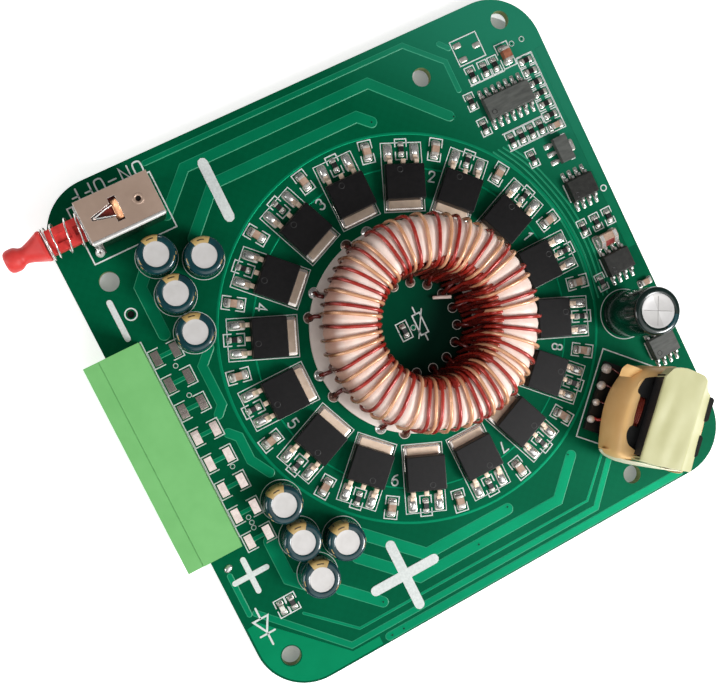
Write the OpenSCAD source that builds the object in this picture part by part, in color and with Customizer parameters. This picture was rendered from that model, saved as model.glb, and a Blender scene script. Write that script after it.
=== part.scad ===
// Active balancer board: a square board with a ring of transistors around a
// wound ring choke, a plug-in terminal header, a push switch, electrolytic
// capacitors and a small taped transformer. Millimetres, +Z up, centred on the
// overall box with its lowest soldered pin ends at z = 0.

/* [Board] */
// Edge length of the square board
board_size = 90; // [89:0.5:94]
// Thickness of the board
board_thickness = 1.6; // [1.2:0.1:2.4]
// Radius of the rounded corners
corner_radius = 9; // [6:0.5:10]
// Diameter of the five mounting holes
mount_hole_diameter = 3.2; // [2.6:0.1:3.4]
// Length of the soldered pin ends under the board
tail_length = 1.2; // [0.8:0.1:2]

/* [Transistor ring] */
// Number of transistors in the ring
ring_count = 16; // [8:4:16]
// Distance from the ring centre to the inner end of a transistor body
transistor_radius = 21.3; // [21.1:0.1:21.6]
// Height of a transistor body
transistor_height = 2.3; // [1.8:0.1:2.6]

/* [Choke] */
// Outer diameter over the winding
coil_outer_diameter = 35.8; // [34.4:0.1:36.2]
// Inner diameter inside the winding
coil_inner_diameter = 17.4; // [17.2:0.1:18.6]
// Height over the winding
coil_height = 9.6; // [8.6:0.1:11]
// Diameter of the winding wire
wire_diameter = 0.9; // [0.6:0.05:0.95]
// Turns in each of the two windings
turns_per_winding = 27; // [18:1:28]
// Height of the white base ring
base_ring_height = 1; // [0.9:0.1:1.4]

/* [Capacitors] */
// Diameter of the small electrolytic capacitors
small_cap_diameter = 6.3; // [5.4:0.1:6.5]
// Height of the small electrolytic capacitors
small_cap_height = 5.2; // [4.6:0.1:7]
// Diameter of the tall electrolytic capacitor
tall_cap_diameter = 8; // [6.4:0.1:8.2]
// Height of the tall electrolytic capacitor
tall_cap_height = 12.5; // [10:0.5:16]

/* [Terminal header] */
// Number of ways
ways = 9; // [5:1:9]
// Distance between neighbouring pins
pitch = 3.81; // [3.6:0.01:3.84]
// Height of the header above the board
header_height = 7.1; // [6.8:0.1:8]

/* [Push switch] */
// Height of the metal case above the board
case_height = 9.5; // [9.2:0.1:11]
// Turns of the return spring
spring_turns = 4.5; // [3.5:0.5:6]
// Wire diameter of the return spring
spring_wire = 0.4; // [0.3:0.05:0.5]
// Diameter of the knob at the plunger's end
knob_diameter = 3.7; // [3.2:0.1:4.2]

/* [Transformer] */
// Height of the transformer over its tape
transformer_height = 13.2; // [12.8:0.1:15]

/* [Hidden] */

$fn = 48;
t = board_thickness;
half = board_size / 2;
plunger_tip = -51.4;
shift_x = -(half + plunger_tip) / 2;
ring_centre = [2.25, 0.15];
coil_centre = [3.7, 0.15];
lead_hole = 1.1;

// mounting holes
mount_spots = [[39.5, 40.5], [22.5, 37.25], [-39, 28.75], [-40.25, -38.75], [26, -40.25]];
// electrolytic capacitors
small_caps = [[-30.6, 29], [-30.6, 22.25], [-30.6, 15.5], [-24, 25.6],
              [-30.4, -15.25], [-30.4, -22], [-30.4, -28.75], [-24.1, -25.4]];
tall_cap = [37.25, -14.5];
// chips with two ends: x, y, turn
resistor_spots = [[30.7, 34, 90], [33.2, 34, 90], [35.2, 34, 90], [28.5, 30, 90], [28.75, 25.2, 90],
                  [32.2, 21.1, 90], [34.1, 21.1, 90], [36.1, 21.1, 90], [38, 21.1, 90],
                  [40.6, 32.4, 0], [40.6, 30.4, 0], [40.6, 28.3, 0], [40.6, 26.3, 0], [40.6, 24.3, 0], [40.6, 22.2, 0],
                  [34.2, 16.8, 90], [37.2, 2.1, 90], [39.8, 2.1, 90], [42.3, 2.1, 90], [36, -7.7, 90], [-36.2, -31, 90]];
capacitor_spots = [[37.7, 34.7, 90], [40.6, 20.2, 0], [43.3, -11.2, 0]];
controller_spot = [34.4, 27.55];
driver_spots = [[39.75, 8.7], [40, -5.7], [41, -22.4]];
regulator_spot = [39.6, 16];
large_chip_spot = [40, -1.35];
indicator_spot = [-38.1, -31];
sensor_spot = [0.6, 0.35];
// terminal header
header_y = 0.2;
header_in = -39.1;
header_out = -48.3;
header_length = (ways - 1) * pitch + 4.9;
header_pin_x = -40.6;
// push switch
switch_x = -32.45;
switch_y = 37.25;
case_l = 12;
case_w = 6.9;
front = switch_x - case_l / 2;
axis_z = 5.2;
flange_x = -44.9;
// transformer
transformer_spot = [31.2, -31.6];
pin_gap = 3.05;
core_w = 7.2;

module on_board() { translate([shift_x, 0, tail_length + t]) children(); }
module under_board() { translate([shift_x, 0, tail_length]) children(); }
module at_choke() { translate([coil_centre[0], coil_centre[1], 0]) children(); }
module around(n, first = 0) {
  translate([ring_centre[0], ring_centre[1], 0])
    for (i = [0 : n - 1]) rotate(first + i * 360 / n) children();
}
module at_transformer() { on_board() translate([transformer_spot[0], transformer_spot[1], 0]) rotate(45) children(); }
module cubic(x0, x1, y0, y1, z0, z1) { translate([x0, y0, z0]) cube([x1 - x0, y1 - y0, z1 - z0]); }

// every place where a lead goes through the board
module outer_lead_spots() { around(8) for (a = [0, 13.5]) rotate(a) translate([17.7, 0, 0]) children(); }
module inner_lead_spots() { around(16) translate([7.6, 0, 0]) children(); }
module small_lead_spots() { for (c = small_caps) for (s = [-1.25, 1.25]) translate([c[0], c[1] + s, 0]) children(); }
module tall_lead_spots() { for (s = [-1.75, 1.75]) translate([tall_cap[0], tall_cap[1] + s, 0]) children(); }
module header_pin_spots() { for (i = [0 : ways - 1]) translate([header_pin_x, header_y + (i - (ways - 1) / 2) * pitch, 0]) children(); }
module switch_pin_spots() { for (i = [-1 : 1]) for (s = [-2.2, 2.2]) translate([switch_x + 2.6 * i, switch_y + s, 0]) children(); }
module bobbin_pin_spots() {
  translate([transformer_spot[0], transformer_spot[1], 0]) rotate(45)
    for (i = [0 : 3]) for (s = [-8.4, 8.4]) translate([(i - 1) * pin_gap, s, 0]) children();
}
module lead_spots() {
  outer_lead_spots() children();
  inner_lead_spots() children();
  small_lead_spots() children();
  tall_lead_spots() children();
  switch_pin_spots() children();
  bobbin_pin_spots() children();
}

// ---- board ----
module circuit_board() {
  color([0.0, 0.36, 0.22]) under_board() difference() {
    union() {
      cubic(-half + corner_radius, half - corner_radius, -half, half, 0, t);
      cubic(-half, half, -half + corner_radius, half - corner_radius, 0, t);
      for (x = [-1, 1]) for (y = [-1, 1])
        translate([x * (half - corner_radius), y * (half - corner_radius), 0]) cylinder(r = corner_radius, h = t);
    }
    for (m = mount_spots) translate([m[0], m[1], -1]) cylinder(d = mount_hole_diameter, h = t + 2);
    translate([-38.3, 22.6, -1]) cylinder(d = 1.2, h = t + 2);
    translate([0, 0, -1]) lead_spots() cylinder(d = lead_hole, h = t + 2, $fn = 24);
    translate([0, 0, -1]) header_pin_spots() cylinder(d = 1.7, h = t + 2, $fn = 24);
  }
}

module link_pads() {
  color([0.75, 0.72, 0.7]) on_board()
    for (x = [-37.9, -34.6]) for (i = [0 : 7]) translate([x - 0.65, 14.5 - 4.76 * i - 1.18, 0]) cube([1.3, 2.36, 0.1]);
}

module solder_joints() {
  color([0.78, 0.78, 0.8]) translate([shift_x, 0, 0]) {
    lead_spots() cylinder(r1 = 0.35, r2 = 0.85, h = tail_length, $fn = 24);
    header_pin_spots() cylinder(r1 = 0.5, r2 = 1.3, h = tail_length, $fn = 24);
  }
}

// ---- choke ----
module choke_base_ring() {
  color([0.93, 0.92, 0.9]) on_board() translate([ring_centre[0], ring_centre[1], 0]) difference() {
    cylinder(r = 17.7, h = base_ring_height, $fn = 96);
    translate([0, 0, -1]) cylinder(r = 10.4, h = base_ring_height + 2, $fn = 96);
    translate([-ring_centre[0], -ring_centre[1], -1]) outer_lead_spots() cylinder(r = 0.7, h = base_ring_height + 2, $fn = 24);
  }
}

wrap_in = coil_inner_diameter / 2 + wire_diameter;
wrap_out = coil_outer_diameter / 2 - wire_diameter;
wrap_low = base_ring_height + wire_diameter;
wrap_high = base_ring_height + coil_height - wire_diameter;
bend = 1.5;
wall = 0.5;

module wrap_section() {
  translate([wrap_in + bend, wrap_low]) square([wrap_out - wrap_in - 2 * bend, wrap_high - wrap_low]);
  translate([wrap_in, wrap_low + bend]) square([wrap_out - wrap_in, wrap_high - wrap_low - 2 * bend]);
  for (r = [wrap_in + bend, wrap_out - bend]) for (z = [wrap_low + bend, wrap_high - bend])
    translate([r, z]) circle(r = bend);
}
module core_section() {
  c = 1;
  a = wrap_in + wall; b = wrap_out - wall; l = wrap_low + wall; h = wrap_high - wall;
  polygon([[a + c, l], [b - c, l], [b, l + c], [b, h - c], [b - c, h], [a + c, h], [a, h - c], [a, l + c]]);
}
module choke_core() { color([0.2, 0.2, 0.21]) on_board() at_choke() rotate_extrude($fn = 96) core_section(); }
module choke_wrap() {
  color([0.92, 0.84, 0.78]) on_board() at_choke() rotate_extrude($fn = 96) difference() { wrap_section(); core_section(); }
}

module bent_quarter(a, r) { rotate([90, 0, 0]) rotate([0, 0, a]) rotate_extrude(angle = 90) translate([r, 0]) circle(d = wire_diameter, $fn = 16); }
module wire(l) { cylinder(d = wire_diameter, h = l, $fn = 16); }
module turn() {
  w = wire_diameter; rc = bend + w / 2;
  ri = coil_inner_diameter / 2 + w / 2; ro = coil_outer_diameter / 2 - w / 2;
  zb = base_ring_height + w / 2; zt = base_ring_height + coil_height - w / 2;
  translate([ro - rc, 0, zt - rc]) bent_quarter(0, rc);
  translate([ri + rc, 0, zt - rc]) bent_quarter(90, rc);
  translate([ri + rc, 0, zb + rc]) bent_quarter(180, rc);
  translate([ro - rc, 0, zb + rc]) bent_quarter(270, rc);
  translate([ri, 0, zb + rc]) wire(zt - zb - 2 * rc);
  translate([ro, 0, zb + rc]) wire(zt - zb - 2 * rc);
  translate([ri + rc, 0, zt]) rotate([0, 90, 0]) wire(ro - ri - 2 * rc);
  translate([ri + rc, 0, zb]) rotate([0, 90, 0]) wire(ro - ri - 2 * rc);
}
module winding(first) {
  on_board() at_choke() for (i = [0 : turns_per_winding - 1]) rotate((i + first) * 360 / turns_per_winding) turn();
}
module winding_copper() { color([0.75, 0.45, 0.3]) winding(0); }
module winding_red() { color([0.7, 0.12, 0.1]) winding(0.5); }
module winding_leads() {
  color([0.55, 0.15, 0.1]) on_board() translate([0, 0, -t]) {
    outer_lead_spots() cylinder(d = 0.9, h = t + base_ring_height - 0.05, $fn = 24);
    inner_lead_spots() cylinder(d = 0.9, h = t + base_ring_height - 0.05, $fn = 24);
  }
}

// ---- ring of transistors ----
body_end = transistor_radius + 6.1;
module transistor_bodies() {
  color([0.08, 0.08, 0.09]) on_board() around(ring_count)
    translate([0, 3.3, 0]) rotate([90, 0, 0]) linear_extrude(6.6)
      polygon([[transistor_radius, 0.55], [body_end - 0.1, 0.55], [body_end, 1.1],
               [body_end - 0.25, transistor_height], [transistor_radius + 0.15, transistor_height], [transistor_radius, 1.1]]);
}
module transistor_frames() {
  color([0.75, 0.7, 0.68]) on_board() around(ring_count) {
    translate([transistor_radius - 1.2, -2.7, 0]) cube([6, 5.4, 0.55]);
    for (y = [-2.29, 2.29]) translate([body_end, y + 0.38, 0]) rotate([90, 0, 0]) linear_extrude(0.76)
      polygon([[0, 0.85], [0, 1.35], [0.7, 1.35], [1.15, 0.5], [2.9, 0.5], [2.9, 0], [0.8, 0], [0.4, 0.85]]);
    cubic(body_end, body_end + 0.8, -0.38, 0.38, 0.85, 1.35);
  }
}
module chip_body(l, w, h, e) { translate([-l / 2 + e, -w / 2, 0]) cube([l - 2 * e, w, h]); }
module chip_ends(l, w, h, e) { for (s = [-l / 2, l / 2 - e]) translate([s, -w / 2, 0]) cube([e, w, h]); }
module at_gate() { on_board() around(ring_count) translate([30, 0, 0]) children(); }
module at_ring_cap() { on_board() around(ring_count, 180 / ring_count) translate([30.3, 0, 0]) children(); }
module gate_resistor_bodies() { color([0.1, 0.1, 0.11]) at_gate() chip_body(1.6, 0.85, 0.45, 0.35); }
module gate_resistor_ends() { color([0.8, 0.79, 0.78]) at_gate() chip_ends(1.6, 0.85, 0.45, 0.35); }
module ring_capacitor_bodies() { color([0.72, 0.52, 0.4]) at_ring_cap() chip_body(2, 1.25, 0.9, 0.45); }
module ring_capacitor_ends() { color([0.8, 0.79, 0.78]) at_ring_cap() chip_ends(2, 1.25, 0.9, 0.45); }

// ---- small parts ----
module at_sensor() { on_board() translate([sensor_spot[0], sensor_spot[1], 0]) rotate(90) children(); }
module sensor_body() { color([0.12, 0.12, 0.13]) at_sensor() chip_body(1.6, 0.85, 0.6, 0.35); }
module sensor_ends() { color([0.8, 0.79, 0.78]) at_sensor() chip_ends(1.6, 0.85, 0.6, 0.35); }

module outline_body(n) {
  l = n * 1.27 - 0.2;
  translate([-l / 2, 0, 0]) rotate([90, 0, 90]) linear_extrude(l)
    polygon([[-1.8, 0.15], [1.8, 0.15], [1.95, 0.8], [1.75, 1.55], [-1.75, 1.55], [-1.95, 0.8]]);
}
module outline_leads(n) {
  for (side = [0, 180]) rotate(side) for (i = [0 : n - 1])
    translate([(i - (n - 1) / 2) * 1.27, 1.95, 0]) rotate([90, 0, 90]) linear_extrude(0.42, center = true)
      polygon([[0, 0.7], [0, 0.9], [0.45, 0.9], [0.62, 0.2], [1.1, 0.2], [1.1, 0], [0.45, 0], [0.28, 0.7]]);
}
module at_controller() { on_board() translate([controller_spot[0], controller_spot[1], 0]) children(); }
module at_drivers() { on_board() for (d = driver_spots) translate([d[0], d[1], 0]) children(); }
module controller_body() { color([0.1, 0.1, 0.11]) at_controller() outline_body(7); }
module controller_leads() { color([0.8, 0.79, 0.78]) at_controller() outline_leads(7); }
module driver_bodies() { color([0.12, 0.12, 0.13]) at_drivers() outline_body(4); }
module driver_leads() { color([0.8, 0.79, 0.78]) at_drivers() outline_leads(4); }

module at_regulator() { on_board() translate([regulator_spot[0], regulator_spot[1], 0]) children(); }
module regulator_body() { color([0.1, 0.1, 0.11]) at_regulator() cubic(-1.25, 1.25, -2.25, 2.25, 0.4, 1.5); }
module regulator_leads() {
  color([0.8, 0.79, 0.78]) at_regulator() {
    for (y = [-1.5, 1.5]) cubic(-2.2, -0.6, y - 0.22, y + 0.22, 0, 0.4);
    cubic(-2.2, 2.1, -0.25, 0.25, 0, 0.4);
    cubic(0.4, 2.1, -0.85, 0.85, 0, 0.4);
  }
}
module at_resistors() { on_board() for (p = resistor_spots) translate([p[0], p[1], 0]) rotate(p[2]) children(); }
module at_capacitors(which) { on_board() for (i = which) translate([capacitor_spots[i][0], capacitor_spots[i][1], 0]) rotate(capacitor_spots[i][2]) children(); }
module chip_resistor_bodies() { color([0.1, 0.1, 0.11]) at_resistors() chip_body(1.6, 0.85, 0.45, 0.35); }
module chip_resistor_ends() { color([0.8, 0.79, 0.78]) at_resistors() chip_ends(1.6, 0.85, 0.45, 0.35); }
module chip_capacitor_bodies() {
  color([0.72, 0.52, 0.4]) {
    at_capacitors([0]) chip_body(2.3, 1.5, 1.3, 0.45);
    at_capacitors([1, 2]) chip_body(1.8, 1, 0.8, 0.4);
  }
}
module chip_capacitor_ends() {
  color([0.8, 0.79, 0.78]) {
    at_capacitors([0]) chip_ends(2.3, 1.5, 1.3, 0.45);
    at_capacitors([1, 2]) chip_ends(1.8, 1, 0.8, 0.4);
  }
}
module at_large_chip() { on_board() translate([large_chip_spot[0], large_chip_spot[1], 0]) children(); }
module large_chip_body() { color([0.5, 0.28, 0.22]) at_large_chip() chip_body(3.4, 2.4, 1.8, 0.8); }
module large_chip_ends() { color([0.8, 0.79, 0.78]) at_large_chip() chip_ends(3.4, 2.4, 1.8, 0.8); }
module at_indicator() { on_board() translate([indicator_spot[0], indicator_spot[1], 0]) rotate(90) children(); }
module indicator_body() { color([0.9, 0.9, 0.86]) at_indicator() chip_body(1.6, 0.85, 0.7, 0.35); }
module indicator_ends() { color([0.8, 0.79, 0.78]) at_indicator() chip_ends(1.6, 0.85, 0.4, 0.35); }

// ---- electrolytic capacitors ----
module can(d, h) {
  r = d / 2 - 0.15;
  rotate_extrude() polygon([[0, 0.4], [r, 0.4], [r, 1], [r - 0.2, 1.25], [r - 0.2, 1.45], [r, 1.7], [r, h - 0.12], [0, h - 0.12]]);
}
module sleeve(d, h) {
  r = d / 2 - 0.15; o = d / 2;
  rotate_extrude() polygon([[r, 0.4], [o, 0.4], [o, 1], [o - 0.2, 1.25], [o - 0.2, 1.45], [o, 1.7], [o, h - 0.25], [o - 0.25, h],
    [o - 0.95, h], [o - 0.95, h - 0.12], [r, h - 0.12], [r, 1.7], [r - 0.2, 1.45], [r - 0.2, 1.25], [r, 1]]);
}
module bung(d) { cylinder(r = d / 2 - 0.5, h = 0.4); }
module at_small() { on_board() for (c = small_caps) translate([c[0], c[1], 0]) children(); }
module at_tall() { on_board() translate([tall_cap[0], tall_cap[1], 0]) children(); }
module small_cans() { color([0.82, 0.82, 0.83]) at_small() can(small_cap_diameter, small_cap_height); }
module small_sleeves() { color([0.03, 0.17, 0.18]) at_small() sleeve(small_cap_diameter, small_cap_height); }
module small_bungs() { color([0.1, 0.1, 0.1]) at_small() bung(small_cap_diameter); }
module small_leads() { color([0.8, 0.79, 0.78]) on_board() translate([0, 0, -t]) small_lead_spots() cylinder(d = 0.5, h = t, $fn = 24); }
module tall_can() { color([0.82, 0.82, 0.83]) at_tall() can(tall_cap_diameter, tall_cap_height); }
module tall_sleeve() { color([0.02, 0.08, 0.07]) at_tall() sleeve(tall_cap_diameter, tall_cap_height); }
module tall_bung() { color([0.1, 0.1, 0.1]) at_tall() bung(tall_cap_diameter); }
module tall_leads() { color([0.8, 0.79, 0.78]) on_board() translate([0, 0, -t]) tall_lead_spots() cylinder(d = 0.6, h = t, $fn = 24); }

// ---- terminal header ----
module header_housing() {
  y0 = header_y - header_length / 2; y1 = header_y + header_length / 2;
  color([0.46, 0.74, 0.45]) on_board() difference() {
    cubic(header_out, header_in, y0, y1, 0, header_height);
    cubic(header_out - 1, header_out + 2.6, y0 - 1, y1 + 1, header_height - 0.2, header_height + 1);
    cubic(header_out - 1, header_in - 2.6, y0 + 1, y1 - 1, 0.9, header_height - 1.1);
    header_pin_spots() {
      cubic(-3, 0.55, -0.55, 0.55, 2.85, 3.95);
      cubic(-0.55, 0.55, -0.55, 0.55, -1, 3.95);
    }
  }
}
module header_pins() {
  color([0.8, 0.79, 0.78]) on_board() header_pin_spots() {
    cubic(header_out + 1 - header_pin_x, 0.5, -0.5, 0.5, 2.9, 3.9);
    cubic(-0.5, 0.5, -0.5, 0.5, -t, 3.4);
  }
}

// ---- push switch ----
module at_switch() { on_board() translate([switch_x, switch_y, 0]) children(); }
module switch_case() {
  s = 0.35; l = case_l / 2; w = case_w / 2;
  color([0.66, 0.62, 0.58]) at_switch() {
    difference() {
      cubic(-l, l, -w, w, 0.3, case_height);
      cubic(-l + s, l - s, -w + s, w - s, 0, case_height - s);
      cubic(-l - 1, 0, -2.1, 2.1, axis_z - 1.45, axis_z + 1.45);
      translate([0, 0, case_height - 1]) linear_extrude(2) polygon([[-4.5, -0.25], [-1, -1.1], [-1, 1.1], [-4.5, 0.25]]);
      cubic(-1.1, 0.1, -1.9, 1.9, case_height - 1, case_height + 1);
      translate([3.1, 0, case_height - 1]) cylinder(d = 1, h = 2, $fn = 32);
    }
    for (y = [-w - 0.8, w]) cubic(-l, -l + 1.2, y, y + 0.8, 0, 0.4);
    for (y = [-w, w - s]) cubic(-l, -l + 1.2, y, y + s, 0, 0.4);
  }
}
module switch_base() {
  l = case_l / 2 - 0.4; w = case_w / 2 - 0.4;
  color([0.12, 0.12, 0.12]) at_switch() difference() {
    cubic(-l, l, -w, w, 0, 1.6);
    for (i = [-1 : 1]) for (s = [-2.2, 2.2]) translate([2.6 * i, s, -1]) cylinder(d = 0.8, h = 4, $fn = 24);
  }
}
module switch_terminals() { color([0.8, 0.79, 0.78]) on_board() translate([0, 0, -t]) switch_pin_spots() cylinder(d = 0.76, h = t + 1.6, $fn = 24); }
module switch_contacts() {
  color([0.8, 0.55, 0.35]) at_switch() for (i = [-1 : 1]) for (s = [-2.2, 2.2]) translate([2.6 * i, s, 1.6])
    cubic(-0.8, 0.8, -0.5, 0.5, 0, 0.3);
}
module switch_latch() { color([0.8, 0.55, 0.35]) at_switch() cubic(-3.2, 1.2, -2.3, 2.3, case_height - 0.65, case_height - 0.35); }
module along_plunger() { on_board() translate([0, switch_y, axis_z]) children(); }
module plunger() {
  k = knob_diameter / 2;
  color([0.9, 0.24, 0.22]) along_plunger() {
    difference() {
      cubic(flange_x, -30, -1.9, 1.9, -1.25, 1.25);
      for (z = [-1.6, 0.8]) cubic(front - 4.6, front - 2.2, -0.7, 0.7, z, z + 0.8);
      for (z = [-1.6, 0.8]) cubic(front - 1.6, front + 1, -0.7, 0.7, z, z + 0.8);
    }
    rotate([0, -90, 0]) rotate_extrude()
      polygon([[0, -flange_x], [2.95, -flange_x], [2.95, -flange_x + 0.4], [2.2, -flange_x + 0.6], [1.35, 48.6],
               [k - 0.3, 49.1], [k, 49.5], [k, 50.9], [k - 0.4, -plunger_tip], [0, -plunger_tip]]);
  }
}
module plunger_contact() { color([0.8, 0.55, 0.35]) along_plunger() cubic(-35, -31.5, -1.2, 1.2, -1.9, -1.25); }

spring_mean = 2.55;
spring_from = front - spring_wire / 2 - 0.01;
spring_to = flange_x + spring_wire / 2 + 0.01;
spring_steps = 108;
spring_sides = 10;
function spring_point(i, j) = let (a = 360 * spring_turns * i / spring_steps, b = 360 * j / spring_sides, r = spring_mean + spring_wire / 2 * cos(b))
  [spring_from + (spring_to - spring_from) * i / spring_steps + spring_wire / 2 * sin(b), r * cos(a), r * sin(a)];
module return_spring() {
  n = spring_steps; m = spring_sides;
  color([0.85, 0.85, 0.86]) along_plunger() polyhedron(
    points = [for (i = [0 : n]) for (j = [0 : m - 1]) spring_point(i, j)],
    faces = concat(
      [for (i = [0 : n - 1]) for (j = [0 : m - 1]) [i * m + j, (i + 1) * m + j, (i + 1) * m + (j + 1) % m]],
      [for (i = [0 : n - 1]) for (j = [0 : m - 1]) [i * m + j, (i + 1) * m + (j + 1) % m, i * m + (j + 1) % m]],
      [[for (j = [0 : m - 1]) j]],
      [[for (j = [m - 1 : -1 : 0]) n * m + j]]));
}

// ---- transformer ----
top_z = transformer_height;
core_low = 0.55;
core_top = top_z - 0.5;
low_yoke = 3.2;
high_yoke = core_top - 2.6;
mid_z = (low_yoke + high_yoke) / 2;
leg_in = 5.3;
leg_out = 6.9;
slot = core_w / 2 + 0.2;
module leg_slots(z0, z1) { for (s = [-1, 1]) translate([s * 7.2, 0, (z0 + z1) / 2]) cube([4.2, 2 * slot, z1 - z0], center = true); }
module arched(r, x, z0, z1) {
  for (s = [0, 180]) rotate(s) intersection() {
    translate([0, 5.1, z0]) cylinder(r = r, h = z1 - z0, $fn = 96);
    cubic(-x, x, -9.5, 0, z0, z1);
  }
}
module bobbin() {
  color([0.08, 0.08, 0.09]) at_transformer() difference() {
    union() {
      arched(12.3, 6.8, low_yoke + 0.05, low_yoke + 0.8);
      arched(12.1, 6.8, high_yoke - 0.85, high_yoke - 0.05);
      cylinder(r = 3.2, h = high_yoke - 0.05);
      for (s = [-1, 1]) {
        translate([0, s * 5.15, 1.8]) cube([11, 1.5, 3], center = true);
        translate([1.15, s * 6.8, 0.75]) cube([12.3, 4.4, 0.9], center = true);
      }
    }
    leg_slots(0, top_z);
    for (s = [-1, 1]) translate([0, s * 6, high_yoke - 0.5]) cube([5, 4, 1.2], center = true);
    translate([0, 0, -1]) cylinder(r = 2.6, h = top_z + 2);
    translate([0, 0, -1]) cylinder(r = 3.6, h = 1 + low_yoke + 0.05);
    for (i = [0 : 3]) for (s = [-8.4, 8.4]) translate([(i - 1) * pin_gap, s, -1]) cylinder(d = 0.76, h = 4, $fn = 24);
  }
}
module bobbin_pins() { color([0.8, 0.79, 0.78]) on_board() translate([0, 0, -t]) bobbin_pin_spots() cylinder(d = 0.72, h = t + 1.7, $fn = 24); }
module core_half(yoke0, yoke1, leg0, leg1) {
  w = core_w / 2;
  cubic(-leg_out, leg_out, -w, w, yoke0, yoke1);
  for (s = [-1, 1]) translate([s * (leg_in + leg_out) / 2, 0, (leg0 + leg1) / 2]) cube([leg_out - leg_in, core_w, leg1 - leg0], center = true);
  translate([0, 0, leg0]) cylinder(r = 2.5, h = leg1 - leg0);
}
module core_upper() { color([0.16, 0.16, 0.17]) at_transformer() core_half(high_yoke, core_top, mid_z, high_yoke); }
module core_lower() { color([0.16, 0.16, 0.17]) at_transformer() core_half(core_low, low_yoke, low_yoke, mid_z); }
module transformer_winding() {
  z0 = low_yoke + 0.85; z1 = high_yoke - 0.9;
  color([0.4, 0.08, 0.07]) at_transformer() difference() {
    translate([0, 0, z0]) cylinder(r = 7.2, h = z1 - z0);
    translate([0, 0, z0 - 1]) cylinder(r = 3.25, h = z1 - z0 + 2);
    leg_slots(0, top_z);
  }
}
module winding_tape() {
  z0 = 2.4; z1 = high_yoke - 0.9;
  color([0.75, 0.62, 0.38]) at_transformer() difference() {
    arched(12.9, 7.3, z0, z1);
    arched(12.4, 6.85, z0 - 1, z1 + 1);
    translate([0, 0, 6]) cube([30, 2 * slot + 0.4, 20], center = true);
  }
}
module core_tape() {
  w = core_w / 2;
  color([0.88, 0.86, 0.62]) at_transformer() difference() {
    cubic(-leg_out - 0.4, leg_out + 0.4, -w, w, core_low - 0.3, top_z);
    cubic(-leg_out, leg_out, -w - 1, w + 1, core_low, core_top);
  }
}

circuit_board();
link_pads();
solder_joints();
choke_base_ring();
choke_core();
choke_wrap();
winding_copper();
winding_red();
winding_leads();
transistor_bodies();
transistor_frames();
gate_resistor_bodies();
gate_resistor_ends();
ring_capacitor_bodies();
ring_capacitor_ends();
sensor_body();
sensor_ends();
controller_body();
controller_leads();
driver_bodies();
driver_leads();
regulator_body();
regulator_leads();
chip_resistor_bodies();
chip_resistor_ends();
chip_capacitor_bodies();
chip_capacitor_ends();
large_chip_body();
large_chip_ends();
indicator_body();
indicator_ends();
small_cans();
small_sleeves();
small_bungs();
small_leads();
tall_can();
tall_sleeve();
tall_bung();
tall_leads();
header_housing();
header_pins();
switch_case();
switch_base();
switch_terminals();
switch_latch();
switch_contacts();
plunger();
plunger_contact();
return_spring();
bobbin();
bobbin_pins();
core_upper();
core_lower();
transformer_winding();
winding_tape();
core_tape();
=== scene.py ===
import bpy, bmesh, math, random
from mathutils import Matrix, Vector


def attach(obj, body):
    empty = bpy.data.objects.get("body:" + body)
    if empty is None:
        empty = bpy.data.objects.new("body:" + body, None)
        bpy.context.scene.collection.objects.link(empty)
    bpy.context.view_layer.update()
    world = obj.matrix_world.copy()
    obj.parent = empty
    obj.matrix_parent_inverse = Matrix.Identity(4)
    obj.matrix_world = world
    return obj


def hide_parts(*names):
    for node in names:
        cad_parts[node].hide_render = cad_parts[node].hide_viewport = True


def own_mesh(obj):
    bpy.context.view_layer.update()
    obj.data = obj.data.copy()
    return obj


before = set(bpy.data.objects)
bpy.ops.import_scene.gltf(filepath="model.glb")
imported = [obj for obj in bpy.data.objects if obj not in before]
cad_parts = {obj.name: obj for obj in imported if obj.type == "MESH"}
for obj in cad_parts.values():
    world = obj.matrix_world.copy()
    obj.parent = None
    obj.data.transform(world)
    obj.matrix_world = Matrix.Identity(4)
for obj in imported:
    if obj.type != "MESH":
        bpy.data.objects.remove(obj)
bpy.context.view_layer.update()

rnd = random.Random(7)
scene = bpy.context.scene
SX, ZB = 3.2, 2.8            # board-centred millimetres to the shared frame
UN = 1.089                   # millimetres in one reading unit of the layout lists
RING = (2.25, 0.15)
COIL = (3.7, 0.15)


def W(p):
    return ((p[0] + SX) * 0.001, p[1] * 0.001, (p[2] + ZB) * 0.001)


def lin(c):
    out = []
    for x in c:
        x = x / 255.0
        out.append(x / 12.92 if x <= 0.04045 else ((x + 0.055) / 1.055) ** 2.4)
    return (out[0], out[1], out[2], 1.0)


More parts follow.
